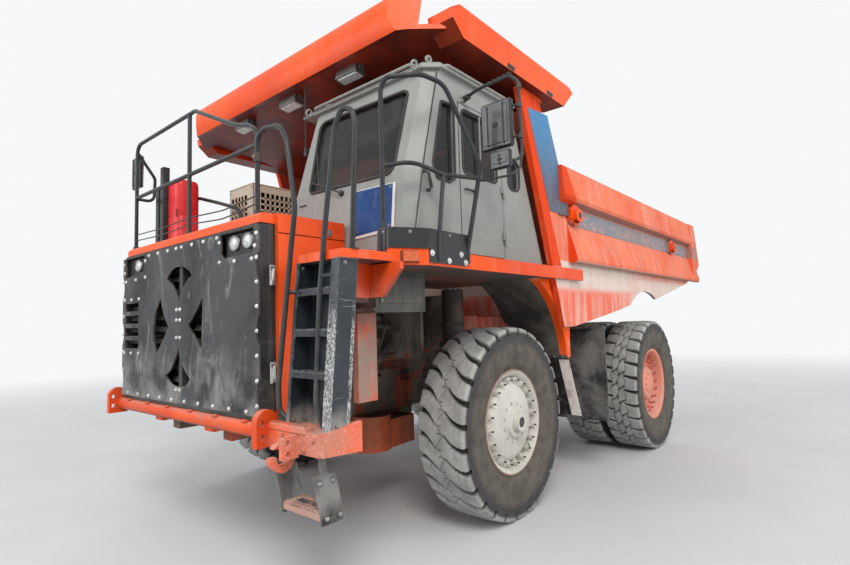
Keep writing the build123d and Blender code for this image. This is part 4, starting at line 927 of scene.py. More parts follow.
p = Piece("front_rails")
p.tube([(FAR_POST, RAIL_Y, HOOD_Z), (FAR_POST, RAIL_Y, 3.81), (0.06, RAIL_Y, 3.81),
        (0.72, RAIL_Y, 3.5), (0.95, RAIL_Y, 3.43), (NEAR_POST, RAIL_Y, 3.36),
        (NEAR_POST, RAIL_Y, HOOD_Z)], PIPE, "rail_black", 0.1)
p.tube([(FAR_POST, RAIL_Y, 3.25), (NEAR_POST, RAIL_Y, 3.25)], PIPE, "rail_black")
p.tube([(MID_POST, RAIL_Y, HOOD_Z), (MID_POST, RAIL_Y, 3.81)], PIPE, "rail_black")
for z, sag in ((2.86, 0.035), (2.8, 0.045)):
    p.tube([(FAR_POST, RAIL_Y, z), (-0.58, RAIL_Y - 0.004, z - sag * 0.5), (MID_POST, RAIL_Y, z),
            (0.56, RAIL_Y - 0.004, z - sag), (NEAR_POST, RAIL_Y, z)], 0.006, "rail_black", 1.2, 8)
p.tube([(FAR_POST, RAIL_Y, 3.74), (FAR_POST, RAIL_Y + 0.18, 3.49), (FAR_POST, RAIL_Y + 0.17, 3.24),
        (FAR_POST, RAIL_Y, 3.24)], 0.016, "rail_black", 0.07)
for x in (FAR_POST, MID_POST, NEAR_POST):
    p.block((x - 0.045, RAIL_Y - 0.03, HOOD_Z), (x + 0.045, RAIL_Y + 0.045, HOOD_Z + 0.01),
            "rail_black")
    p.lathe([(0.0, 0.03), (0.03, 0.026), (0.032, 0.021)], (x, RAIL_Y, HOOD_Z + 0.008), Z,
            "rail_black", 16)
    p.bolts([(x + dx, RAIL_Y + 0.03, HOOD_Z + 0.01) for dx in (-0.032, 0.032)], Z, "steel", 0.009,
            0.008)
p.lathe([(-0.035, 0.021), (-0.035, 0.029), (0.035, 0.029), (0.035, 0.021)],
        (NEAR_POST, RAIL_Y, 3.15), Z, "iron", 20)
p.bolt((NEAR_POST, RAIL_Y - 0.029, 3.15), -Y, "steel", 0.009, 0.01)
p.make("chassis", "front_handrail", slot="black")

p = Piece("ladder_rails")
p.tube([(NEAR_POST, RAIL_Y, 3.15), (1.075, RAIL_Y - 0.01, 3.3), (1.2, HOOP_Y, 3.33),
        (1.4, HOOP_Y, 3.3), (1.485, HOOP_Y, 3.17), (1.55, HOOP_Y, 2.815), (1.57, HOOP_Y, 2.67),
        (1.5, HOOP_Y - 0.005, 2.245), (1.42, HOOP_Y - 0.04, 1.47), (1.43, HOOP_Y - 0.04, 1.3),
        (1.5, HOOP_Y - 0.015, 1.245)], PIPE, "rail_black", 0.13)
p.tube([(1.8, -2.24, 1.215), (1.775, HOOP_Y, 1.38), (1.775, -2.24, 2.07), (1.8, -2.2, 2.59),
        (1.855, -2.16, 3.19), (1.895, -2.13, 3.325), (1.975, -2.105, 3.3), (1.995, -2.1, 3.2),
        (1.945, -2.1, 2.362)], PIPE, "rail_black", 0.1)
p.tube([(1.46, -2.295, 2.1), (1.505, -2.23, 2.1)], 0.014, "rail_black")
p.tube([(1.783, -2.235, 2.19), (1.88, -2.2, 2.19)], 0.014, "rail_black")
p.lathe([(0, 0.045), (0.008, 0.045)], (1.945, -2.1, 2.36), Z, "rail_black", 20)
p.make("chassis", "ladder_handrails", slot="black")

p = Piece("corner_rail")
p.tube([(2.108, -1.03, 2.32), (2.108, -1.03, 2.42), (2.27, -1.04, 3.08), (2.13, -1.3, 3.7),
        (2.125, -1.56, 3.685), (1.94, -1.74, 3.665), (1.88, -1.74, 3.6), (1.88, -1.74, 2.4)],
       PIPE, "rail_black", 0.11)
p.tube([(1.88, -1.74, 3.01), (2.05, -1.607, 3.04), (2.11, -1.313, 2.985), (2.245, -1.04, 2.98)],
       PIPE * 0.9, "rail_black", 0.25)
p.tube([(2.11, -1.313, 2.985), (2.112, -1.4, 2.44), (2.112, -1.4, 2.32)], 0.017, "rail_black", 0.1)
p.tube([(1.88, -1.74, 2.6), (1.88, -1.765, 2.5), (1.88, -1.768, 2.32)], 0.019, "rail_black", 0.1)
KICK = [(1.852, -1.762), (1.962, -1.762), (2.106, -1.5), (2.106, -1.02)]
for a, b in zip(KICK, KICK[1:]):
    a, b = Vector((*a, 2.4)), Vector((*b, 2.4))
    n = (b - a).cross(Z).normalized() * 0.005
    p.prism([a - n, b - n, b + n, a + n], (0, 0, 0.15), "rail_black")
    p.bolt(a.lerp(b, 0.5) + n + Vector((0, 0, 0.12)), n, "steel", 0.008, 0.006)
p.prism([(2.1005, -1.5, 2.3), (2.1005, -1.045, 2.3), (2.1005, -1.02, 2.41), (2.1005, -1.5, 2.41)],
        (0.011, 0, 0), "rail_black")
places = ((-1.475, 2.37), (-1.275, 2.325), (-1.12, 2.385), (-1.065, 2.325))
p.bolts([(2.1115, y, z) for y, z in places], X, "bolt", 0.014, 0.01)
p.prism([(1.835, -1.772, 2.295), (1.915, -1.772, 2.295), (1.93, -1.772, 2.55),
         (1.85, -1.772, 2.55)], (0, 0.0115, 0), "rail_black")
p.bolt((1.885, -1.772, 2.325), -Y, "bolt", 0.014, 0.01)
p.make("chassis", "cab_handrails", slot="black")


# Nose: core behind the slats, lamps, sheet bolts and side latches

p = Piece("radiator_core")
p.block((-1.18, -2.214, 1.25), (1.18, -2.206, 2.58), "trim")
for i in range(118):
    x = -1.17 + 0.02 * i
    p.block((x - 0.002, -2.222, 1.26), (x + 0.002, -2.213, 2.57), "trim", 0.0005)
for z in (1.4, 1.8, 2.2):
    p.block((-1.18, -2.236, z), (1.18, -2.22, z + 0.03), "trim")
p.make("chassis", slot="trim")

p = Piece("lamp_cluster")
for sign in (1, -1):
    p.block((sign * 0.732, -2.32, 2.395), (sign * 1.18, -2.302, 2.58), "black")
    p.block((sign * 0.742, -2.33, 2.4), (sign * 1.17, -2.319, 2.425), "black")
for x in (0.875, 1.065, -0.925):
    c = (x, -2.318, 2.508)
    out = (0.12, -1, 0.02)
    p.lathe([(-0.01, 0.06), (0.018, 0.062), (0.024, 0.058), (0.02, 0.052)], c, out, "steel", 32)
    p.lathe([(0.006, 0.054), (0.016, 0.05), (0.024, 0.036), (0.028, 0.018), (0.029, 0.0)], c, out,
            "lamp", 32)
p.make("chassis", "headlamps", slot="lamp")

p = Piece("sheet_bolts")
spots = []
for i in range(8):
    spots += [(1.222, 1.32 + 0.174 * i), (-1.222, 1.32 + 0.174 * i)]
spots += [(x, 1.272) for x in np.arange(-1.08, 1.1, 0.24)]
spots += [(x, 2.572) for x in (-0.62, -0.42, -0.22, -0.05, 0.05, 0.24, 0.44, 0.66)]
spots += [(s * x, z) for s in (1, -1) for x, z in
          ((0.7, 2.53), (0.7, 2.375), (0.92, 2.365), (1.16, 2.36), (1.2, 2.45))]
spots += [(s * 0.032, z) for s in (1, -1) for z in (1.36, 1.8, 1.95, 2.04)]
spots += [(x, z) for x in (-1.19, -1.02, -0.84) for z in (1.655, 2.175)]
for x, z in spots:
    p.lathe([(0, 0.018), (0.003, 0.017), (0.01, 0.011), (0.012, 0.0)], (x, NOSE_Y, z), -Y, "bolt",
            12)
for z in (2.24, 1.545):
    p.block((1.25, -2.275, z - 0.072), (1.258, -2.232, z + 0.072), "bolt", 0.003)
    p.tube([(1.258, -2.254, z + 0.05), (1.272, -2.254, z + 0.04), (1.272, -2.262, z - 0.03),
            (1.258, -2.27, z - 0.075)], 0.008, "bolt", 0.02, 8)
    p.lathe([(-0.016, 0.012), (0.016, 0.012)], (1.264, -2.254, z + 0.052), Y, "steel", 12)
    p.bolts([(1.258, -2.24, z + dz) for dz in (-0.058, 0.062)], X, "steel", 0.007, 0.006)
for y in (-2.07, -1.72):
    p.block((1.25, y - 0.02, 2.575), (1.256, y + 0.02, 2.63), "steel")
    p.bolt((1.256, y, 2.6), X, "steel", 0.007, 0.006)
p.make("chassis", slot="steel")


# What stands on the hood and the decks

def grid_face(p, corner, across, up, cols, rows, sides, bar, depth, look):
    """Sheet with rows of square holes, from a corner and two edge vectors; sides are the
    margins left, right, below and above."""
    corner, across, up = Vector(corner), Vector(across), Vector(up)
    inward = across.cross(up).normalized() * -depth
    u, v = across.normalized(), up.normalized()
    w, h = across.length, up.length
    left, right, below, above = sides

    def strip(x0, x1, z0, z1):
        pts = [corner + u * x + v * z for x, z in ((x0, z0), (x1, z0), (x1, z1), (x0, z1))]
        p.prism(pts, inward, look)

    strip(0, w, 0, below)
    strip(0, w, h - above, h)
    strip(0, left, below, h - above)
    strip(w - right, w, below, h - above)
    step_u = (w - left - right) / cols
    step_v = (h - below - above) / rows
    for i in range(1, cols):
        strip(left + i * step_u - bar / 2, left + i * step_u + bar / 2, below, h - above)
    for i in range(1, rows):
        z = below + i * step_v
        strip(left, w - right, z - bar / 2, z + bar / 2)


p = Piece("intake_box")
x0, x1, y0, y1, z1 = -0.52, -0.07, -1.6, -1.1, 3.31
grid_face(p, (x0, y0, HOOD_Z), (x1 - x0, 0, 0), (0, 0, z1 - HOOD_Z), 5, 8,
          (0.035, 0.115, 0.05, 0.105), 0.02, 0.006, "beige")
grid_face(p, (x1, y0, HOOD_Z), (0, y1 - y0, 0), (0, 0, z1 - HOOD_Z), 7, 8,
          (0.085, 0.03, 0.05, 0.085), 0.018, 0.006, "beige")
p.block((x0, y1 - 0.008, HOOD_Z), (x1, y1, z1), "beige")
p.block((x0, y0, HOOD_Z), (x0 + 0.006, y1, z1), "beige")
p.block((x0 - 0.006, y0 - 0.006, z1 - 0.012), (x1 + 0.006, y1 + 0.006, z1), "beige")
for i in range(14):
    z = HOOD_Z + 0.05 + 0.04 * i
    p.block((x0 + 0.03, y0 + 0.1, z), (x1 - 0.03, y0 + 0.42, z + 0.012), "trim", 0.002)
p.bolts([(x, y0, z) for x in (x0 + 0.02, x1 - 0.02) for z in (HOOD_Z + 0.03, z1 - 0.04)], -Y,
        "steel", 0.007, 0.006)
p.make("chassis", "grille_box", slot="beige")

p = Piece("hood_back")
p.block((-0.7, -1.563, 2.262), (0.4, 0.3, 2.7), "orange", 0.012)
profile = [(-1.24, 2.699), (-1.24, 3.15), (-1.225, 3.19), (-1.19, 3.215), (0.3, 3.215),
           (0.3, 2.699)]
p.prism([(0.13, y, z) for y, z in profile], (0.27, 0, 0), "orange")
p.block((-0.66, -1.04, 2.7), (0.09, 0.24, 2.712), "orange", 0.004)
for y in (-0.85, -0.45, -0.05):
    p.block((0.122, y, 2.86), (0.131, y + 0.26, 3.06), "orange", 0.004)
    for k in range(5):
        p.block((0.116, y + 0.02, 2.875 + 0.036 * k), (0.123, y + 0.24, 2.888 + 0.036 * k), "black",
                0.002)
p.bolts([(x, y, 2.712) for x in (-0.6, 0.03) for y in (-0.98, 0.18)], Z, "steel", 0.01, 0.008)
p.make("chassis", "hood_rear", slot="orange")

p = Piece("canister")
outline = [[math.copysign(abs(c) ** 0.55, c) for c in point[:2]]
           for point in loop((0, 0, 0), X, Y, 48)]
levels = [(0.0, 0.92), (0.008, 1.0), (0.33, 1.0), (0.334, 0.985), (0.342, 0.985), (0.346, 1.0),
          (0.66, 1.0), (0.695, 0.97), (0.718, 0.88), (0.728, 0.7), (0.73, 0.3)]
points = [(-0.93 + 0.143 * s * u, -1.9 + 0.125 * s * v, HOOD_Z + z)
          for z, s in levels for u, v in outline]
p.add(points, sleeve(len(levels), len(outline)), "red")
for z in (2.86, 3.24):
    p.block((-1.078, -1.93, z), (-1.07, -1.8, z + 0.03), "black")
p.block((-0.8, -2.034, 3.02), (-0.786, -2.024, 3.1), "black")
p.tube([(-0.93, -1.92, 3.425), (-0.93, -1.96, 3.45), (-0.93, -1.99, 3.425)], 0.008, "black", 0.02)
p.make("chassis", "red_tank", slot="red")

p = Piece("deck_fittings")
p.tube([(-0.98, -1.76, 2.7), (-0.98, -1.76, 3.3), (-0.55, -1.72, 3.17), (-0.22, -1.68, 3.06),
        (-0.17, -1.66, 2.95), (-0.17, -1.66, 2.7)], 0.018, "black", 0.09)
p.block((-1.085, -2.075, 2.7), (-1.015, -2.005, 3.58), "rail_black")
p.block((-1.18, -2.08, 2.7), (-1.11, -2.01, 3.36), "rail_black")
for z in (2.95, 3.25):
    p.block((-1.2, -2.06, z), (-1.0, -2.03, z + 0.03), "rail_black")
p.make("chassis", "stack_posts", slot="black")

p = Piece("amber_lamp")
a, b = Vector((1.975, -1.732, 2.34)), Vector((2.085, -1.53, 2.34))
n = (b - a).cross(Z).normalized()
mid = (a + b) / 2
u = (b - a).normalized()
for size, lift, depth, look in ((0.072, 0.0, 0.012, "trim"), (0.062, 0.01, 0.028, "amber")):
    foot = [mid + u * du * size + Z * (dz * size * 0.62) + n * (lift - 0.004)
            for du, dz in ((-1, -1), (1, -1), (1, 1), (-1, 1))]
    p.prism(foot, n * depth, look, 0.06)
p.block(mid - Vector((0.001, 0.001, 0.036)), mid + Vector((0.001, 0.001, 0.036)), "trim")
p.make("chassis", slot="lamp")


# Cab: gaskets, wiper, plate, drip rails, aerial, handle

def front_plane(x, z, lift=0.0):
    """Point on the cab's front wall, lifted forwards."""
    if z > 3.05:
        y = -1.5 + (z - 3.05) * 0.3051
        return Vector((x, y - lift * 0.956, z + lift * 0.292))
    y = -1.56 + (z - 2.4) * 0.0923
    return Vector((x, y - lift, z))


def gasket(p, corners, r, bend):
    """Closed bead through the corners."""
    middle = (Vector(corners[-1]) + Vector(corners[0])) / 2
    p.tube([middle, *corners, middle], r, "trim", bend, 8, caps=False)


p = Piece("cab_trim")
SEAM = 1.9605
screen = [(0.7, 3.06), (1.766, 3.035), (1.751, 3.785), (0.594, 3.818)]
gasket(p, [front_plane(x, z, 0.002) for x, z in screen], 0.013, 0.075)
for x, bend, corners in (
        (1.963, 0.05, ((-0.85, 3.13), (-0.32, 3.13), (-0.32, 3.69), (-0.85, 3.69))),
        (1.963, 0.025, ((-1.255, 3.13), (-1.212, 3.012), (-1.042, 3.008), (-0.965, 3.05),
                        (-0.958, 3.685), (-1.128, 3.672))),
        (1.963, 0.088, ((-0.123, 3.12), (0.093, 3.12), (0.093, 3.42), (-0.123, 3.42))),
        (0.418, 0.06, ((-1.05, 3.15), (-0.15, 3.15), (-0.15, 3.76), (-1.01, 3.76)))):
    gasket(p, [(x, y, z) for y, z in corners], 0.01, bend)
p.tube([(1.966, -0.585, 3.135), (1.966, -0.585, 3.685)], 0.008, "grey", 0.02, 8)
p.tube([(SEAM, -0.895, 2.432), (SEAM, -0.895, 3.738)], 0.004, "trim", 0.02, 6)
p.tube([(SEAM, -1.5, 2.42), (SEAM, -1.485, 2.584), (SEAM, -1.34, 3.225), (SEAM, -1.195, 3.773),
        (SEAM, -1.165, 3.9)], 0.006, "trim", 0.3, 6)
p.tube([(SEAM, -0.212, 3.7), (SEAM, -0.212, 2.44)], 0.003, "grey", 0.3, 6)
p.tube([(1.955, -1.3715, 3.032), (2.005, -1.369, 3.032), (2.006, -1.328, 2.89),
        (1.955, -1.328, 2.89)], 0.0135, "trim", 0.035)
p.tube([(1.955, -0.83, 2.99), (1.985, -0.83, 2.985), (1.985, -0.72, 2.985), (1.955, -0.72, 2.99)],
       0.009, "trim", 0.015)
p.block((1.958, -0.7, 2.96), (1.972, -0.65, 3.01), "trim")
post = front_plane(1.16, 2.985, 0.012)
p.lathe([(-0.02, 0.026), (0.012, 0.024), (0.02, 0.015)], post, (0, -0.956, 0.292), "trim", 20)
tip = front_plane(0.78, 3.13, 0.045)
p.tube([post + Vector((0, -0.012, 0)), front_plane(0.98, 3.055, 0.04), tip], 0.008, "trim", 0.05, 8)
p.tube([front_plane(0.7, 3.46, 0.03), front_plane(0.865, 3.08, 0.03)], 0.007, "trim", 0.02, 8)
p.tube([tip, front_plane(0.79, 3.26, 0.034)], 0.006, "trim", 0.02, 8)
for x, z, w in ((0.62, 2.965, 0.05), (1.7, 2.945, 0.03)):
    half = Vector((w, 0.004, 0.005))
    p.block(front_plane(x, z, 0.006) - half, front_plane(x, z) + half, "black", 0.002)
p.make("chassis", slot="trim")

p = Piece("cab_fittings")
for pts in (((0.5, -1.235, 3.975), (0.52, -1.285, 3.985), (1.78, -1.285, 3.985),
             (1.8, -1.235, 3.975)), ((1.955, -1.1, 3.965), (2.005, -1.08, 3.975),
                                     (2.005, -0.16, 3.975), (1.955, -0.14, 3.965))):
    p.tube(pts, 0.014, "grey", 0.05, 10)
for x in (0.447, 1.835):
    p.tube(loop((x, -1.3, 3.957), (0, 0.031, 0), (0.01, 0, 0.031), 20, extra=1), 0.011, "grey", 0.5,
           8, caps=False)
    p.block((x - 0.012, -1.275, 3.94), (x + 0.012, -1.25, 3.975), "grey")
p.block((0.6, -1.22, 3.985), (0.66, -1.1, 4.015), "grey")
p.tube([(0.385, -1.3, 3.55), (0.385, -1.3, 4.24)], 0.006, "trim", 0.02, 8)
p.lathe([(-0.03, 0.02), (0.05, 0.014)], (0.385, -1.3, 3.57), Z, "trim", 14)
p.tube([(0.385, -1.3, 3.6), (0.43, -1.22, 3.6)], 0.01, "black", 0.02, 8)
p.make("chassis", slot="grey")

p = Piece("front_plate")
outline = [(1.31, 2.6), (1.36, 2.555), (1.8, 2.575), (1.8, 2.955), (1.31, 2.965)]
p.prism([front_plane(x, z, 0.003) for x, z in outline], (0, -0.006, 0), "white")
inner = [(1.316, 2.622), (1.372, 2.58), (1.772, 2.6), (1.772, 2.947), (1.316, 2.957)]
p.prism([front_plane(x, z, 0.0095) for x, z in inner], (0, -0.002, 0), "plate_blue")
corners = ((1.34, 2.93), (1.75, 2.925), (1.4, 2.61), (1.75, 2.62))
p.bolts([front_plane(x, z, 0.0115) for x, z in corners], -Y, "steel", 0.006, 0.004)
p.make("chassis", slot="trim")


# Mirrors

def mirror_head(p, low, high, ribs):
    """Rounded housing with a ribbed back and a glass set into its rear face."""
    low, high = Vector(low), Vector(high)
    p.block(low, high, "gloss", 0.03)
    w = high.x - low.x
    h = high.z - low.z
    p.block((low.x + 0.03, low.y - 0.004, low.z + 0.04),
            (high.x - 0.03, low.y + 0.01, high.z - 0.04), "gloss", 0.006)
    for i in range(ribs):
        x = low.x + w * (i + 0.5) / ribs
        p.block((x - 0.006, low.y - 0.01, low.z + 0.03), (x + 0.006, low.y, high.z - 0.03), "trim",
                0.003)
    p.block((low.x + 0.015, high.y - 0.004, low.z + 0.02),
            (high.x - 0.015, high.y + 0.004, high.z - 0.02), "chrome", 0.004)
    p.block((low.x + w / 2 - 0.02, low.y - 0.012, low.z + h * 0.45),
            (low.x + w / 2 + 0.02, low.y, low.z + h * 0.55), "trim", 0.004)


p = Piece("mirrors_left")
mirror_head(p, (2.215, -0.94, 3.215), (2.5, -0.885, 3.605), 2)
mirror_head(p, (2.345, -1.03, 3.02), (2.53, -0.985, 3.165), 1)
p.tube([(1.985, -0.825, 3.775), (2.14, -0.85, 3.8), (2.48, -0.9, 3.79), (2.545, -0.88, 3.72),
        (2.545, -0.87, 3.13), (2.53, -0.96, 3.08), (2.5, -1.005, 3.08)], 0.013, "rail_black", 0.06)
for x, z in ((2.54, 3.54), (2.542, 3.29)):
    p.tube([(2.495, -0.9, z), (x, -0.88, z)], 0.01, "rail_black")
p.tube([(2.215, -1.0, 3.15), (2.225, -1.01, 2.985), (2.26, -1.01, 2.965), (2.5, -0.985, 2.965),
        (2.54, -0.9, 3.03), (2.545, -0.88, 3.16)], 0.009, "rail_black", 0.04)
for x in np.linspace(2.2, 2.45, 6):
    y = -0.85 - 0.15 * (x - 2.14)
    p.tube([(x, y, 3.8), (x + 0.02, y - 0.012, 3.812), (x + 0.04, y, 3.8)], 0.009, "trim", 0.02, 8)
for z in (3.54, 3.29, 3.69):
    p.lathe([(-0.02, 0.022), (0.02, 0.022)], (2.543, -0.876, z), Z, "iron", 12)
p.lathe([(-0.03, 0.026), (0.03, 0.026)], (2.01, -0.828, 3.777), (1, -0.1, 0.1), "iron", 16)
p.make("chassis", "mirror_left", slot="trim")

p = Piece("mirrors_right")
mirror_head(p, (-1.68, -2.14, 3.44), (-1.46, -2.09, 3.8), 2)
p.tube([(FAR_POST, RAIL_Y, 3.3), (-1.38, -2.2, 3.3), (-1.575, -2.13, 3.33), (-1.575, -2.11, 3.42)],
       0.013, "rail_black", 0.05)
p.tube([(FAR_POST, RAIL_Y, 3.7), (-1.42, -2.16, 3.68), (-1.5, -2.12, 3.68)], 0.01, "rail_black",
       0.05)
p.make("chassis", "mirror_right", slot="trim")


# Ladder steps, bumper tread and its bolts, hung step

def lean(t):
    """y and z on the ladder's front line, from its foot at 0 to its head at 1."""
    return -2.32 + 0.1 * t, 1.21 + 1.09 * t


def stud(p, at, deep, high, look, taper):
    """Raised bar of a tread, from its front left foot corner."""
    x, y, z = at
    p.prism([(x, y, z), (x + 0.014, y, z), (x + 0.014, y + deep, z), (x, y + deep, z)],
            (0, 0, high), look, taper)


p = Piece("ladder_steps")
FOOT, HEAD = lean(0.0), lean(1.0)


def leaning(x0, x1, d0, d1):
    """Ladder plate between x0 and x1, from d0 to d1 behind the ladder's front line."""
    p.prism([(x0, FOOT[0] + d0, FOOT[1]), (x0, FOOT[0] + d1, FOOT[1]), (x0, HEAD[0] + d1, HEAD[1]),
             (x0, HEAD[0] + d0, HEAD[1])], (x1 - x0, 0, 0), "ladder")


for sizes in ((1.5, 1.512, 0.0, 0.16), (1.512, 1.53, 0.0, 0.01), (1.512, 1.88, 0.15, 0.16),
              (1.878, 1.89, 0.01, 0.15), (1.878, 1.955, 0.0, 0.01), (1.943, 1.955, 0.01, 0.16)):
    leaning(*sizes)
for i in range(3):
    y, z = lean((i + 1.2) / 4)
    p.block((1.512, y + 0.012, z), (1.878, y + 0.15, z + 0.028), "ladder")
    p.block((1.512, y + 0.004, z - 0.014), (1.878, y + 0.014, z + 0.03), "ladder")
    for k in range(14):
        x = 1.53 + 0.0245 * k
        stud(p, (x, y + 0.012, z + 0.028), 0.02, 0.01, "ladder", 0.2)
for x in (1.512, 1.955):
    for t in (0.03, 0.97):
        y, z = lean(t)
        p.bolt((x, y + 0.05, z), X, "steel", 0.009, 0.008)
p.block((1.878, -2.225, 2.285), (1.972, -2.065, 2.3), "ladder")
p.make("chassis", "ladder", slot="black")

p = Piece("bumper_tread")
p.block((1.4, -2.386, 1.19), (1.8, -2.33, 1.236), "bumper", 0.006)
for i in range(13):
    x = 1.415 + 0.029 * i
    stud(p, (x, -2.382, 1.234), 0.048, 0.012, "bumper", 0.25)
p.bolts([(x, -2.38, z) for x, z in ((1.55, 1.1), (1.55, 1.17), (1.78, 1.1), (1.87, 1.17))], -Y,
        "bumper", 0.014, 0.012)
for x in np.arange(-1.05, 1.1, 0.42):
    p.block((x - 0.03, -2.372, 1.195), (x + 0.03, -2.3, 1.214), "bumper")
    p.bolt((x, -2.34, 1.214), Z, "iron", 0.01, 0.008)
p.make("chassis", slot="orange")

p = Piece("step_bolts")
for x, z in ((1.868, 0.905), (1.938, 0.715)):
    for y in (-2.345, -2.245):
        p.lathe([(0, 0.018), (0.004, 0.017), (0.012, 0.01), (0.014, 0.0)], (x + 0.013, y, z),
                (1, 0, 0.32), "steel", 14)
for y0, y1 in ((-2.372, -2.322), (-2.26, -2.212)):
    p.block((1.548, y0, 0.743), (1.932, y1, 0.753), "worn_pink", 0.003)
    for k in range(17):
        x = 1.57 + 0.0215 * k
        p.lathe([(0, 0.007), (0.004, 0.005)], (x, (y0 + y1) / 2, 0.753), Z, "worn_pink", 8)
for x0, x1 in ((1.548, 1.59), (1.888, 1.932)):
    p.block((x0, -2.325, 0.743), (x1, -2.258, 0.753), "worn_pink", 0.003)
p.block((1.546, -2.374, 0.7), (1.934, -2.369, 0.744), "worn_pink", 0.002)
p.block((1.7, -2.325, 0.715), (1.712, -2.258, 0.745), "worn_pink", 0.002)
p.make("chassis", slot="steel")


# Wheel-arch liners: the arch's curved sheet carried on inboard, with a bracket at the flap's head

def circle(a, b, c, steps):
    """Points of the arc from a to c through b, in a plane."""
    (ax, ay), (bx, by), (cx, cy) = a, b, c
    d = 2 * (ax * (by - cy) + bx * (cy - ay) + cx * (ay - by))
    sa, sb, sc = ax * ax + ay * ay, bx * bx + by * by, cx * cx + cy * cy
    ux = (sa * (by - cy) + sb * (cy - ay) + sc * (ay - by)) / d
    uy = (sa * (cx - bx) + sb * (ax - cx) + sc * (bx - ax)) / d
    r = math.hypot(ax - ux, ay - uy)
    start = math.atan2(ay - uy, ax - ux)
    turn = (math.atan2(cy - uy, cx - ux) - start + math.pi) % (2 * math.pi) - math.pi
    return [(ux + r * math.cos(start + turn * i / steps),
             uy + r * math.sin(start + turn * i / steps)) for i in range(steps + 1)]


p = Piece("arch_liners")
ARCH = circle((0.287, 2.279), (0.727, 1.93), (0.907, 1.46), 16)
# below 1.85 the inner edge keeps clear of the steered tyre
edge = [max(1.285, 1.7 - 1.064 * (z - 1.46)) for _, z in ARCH]
for i, ((y0, z0), (y1, z1)) in enumerate(zip(ARCH[:-2], ARCH[1:-1])):
    n = Vector((0, z0 - z1, y1 - y0)).normalized() * 0.008
    p.prism([(edge[i], y0, z0), (1.702, y0, z0), (1.702, y1, z1), (edge[i + 1], y1, z1)], n,
            "fender")
for i in (3, 8):
    y, z = ARCH[i]
    p.block((edge[i], y - 0.002, z - 0.002), (edge[i] + 0.012, y + 0.03, z + 0.03), "frame_dirt",
            0.003)
y, z = ARCH[-1]
p.block((1.69, y - 0.01, z - 0.022), (1.984, y + 0.001, z + 0.012), "black")
p.mirror()
p.bolts([(s * x, y - 0.01, z - 0.005) for s in (1, -1) for x in (1.74, 1.84, 1.94)], -Y, "steel",
        0.01, 0.008)
p.make("chassis", slot="orange")


# Canopy and body fittings

p = Piece("canopy_lamps")
for x in (0.95, 0.02, -0.88):
    y0, z0 = -1.203, 4.19
    for w, front, back, fall, lift, rise, look, taper in (
            (0.145, 0.06, 0.06, 0.02, 0.0, (0, 0.004, 0.085), "steel", 0.1),
            (0.125, 0.045, 0.044, 0.014, -0.002, (0, -0.001, -0.01), "lamp", 0.05)):
        z = z0 + lift
        p.prism([(x - w, y0 - front, z), (x + w, y0 - front, z), (x + w, y0 + back, z - fall),
                 (x - w, y0 + back, z - fall)], rise, look, taper)
    for dx in (-0.152, 0.152):
        p.block((x + dx - 0.006, y0 - 0.02, z0 + 0.02), (x + dx + 0.006, y0 + 0.03, z0 + 0.1),
                "steel", 0.002)
        p.bolt((x + dx + math.copysign(0.006, dx), y0, z0 + 0.045), (dx, 0, 0), "iron", 0.009,
               0.006)
p.make("dump_body", "work_lamps", slot="lamp")

p = Piece("body_fittings")
marker = ((-0.075, -0.02), (0.055, -0.028), (0.075, 0.022), (-0.05, 0.03))
for y, z in ((-0.28, 4.205), (0.491, 4.2)):
    p.prism([(2.1395, y + dy, z + dz) for dy, dz in marker], (0.0012, 0, 0), "trim")
panel = [(0.142, 3.974), (0.561, 4.01), (1.005, 2.985), (0.519, 2.98)]
p.prism([(2.045, y, z) for y, z in panel], (0.0205, 0, 0), "panel_blue")
p.block((2.0402, 1.24, 2.905), (2.0435, 4.66, 3.095), "stripe", 0.001)
p.block((2.0402, 4.95, 2.915), (2.0435, 5.85, 3.085), "stripe", 0.001)
for y, z in ((1.08, 3.0), (4.81, 2.985)):
    p.prism(loop((2.082, y, z + 0.01), Y * 0.125, Z * 0.125, 8, 0.5), (0.012, 0, 0), "orange")
    p.lathe([(-0.045, 0.08), (0, 0.08), (0.006, 0.074), (0.006, 0.04)], (2.138, y, z), X, "orange")
    p.lathe([(0.0062, 0.04), (0.0064, 0.0)], (2.138, y, z), X, "trim", 20)
p.mirror()
p.make("dump_body", slot="faded_orange")


# Under the decks: hoses, pipes, engine covers and strut collars

p = Piece("bay_boxes")
p.block((1.4, -1.668, 2.03), (1.62, -1.658, 2.25), "grey", 0.003)
p.block((1.28, -1.7, 1.962), (1.72, -1.655, 1.99), "box_grey")
p.block((1.28, -1.7, 2.262), (1.72, -1.655, 2.279), "box_grey")
p.block((1.699, -1.62, 2.02), (1.709, -1.14, 2.24), "box_grey", 0.003)
p.bolts([(1.709, y, z) for z in (2.04, 2.22) for y in (-1.6, -1.16)], X, "steel", 0.008, 0.006)
p.mirror()
p.make("chassis", slot="grey")

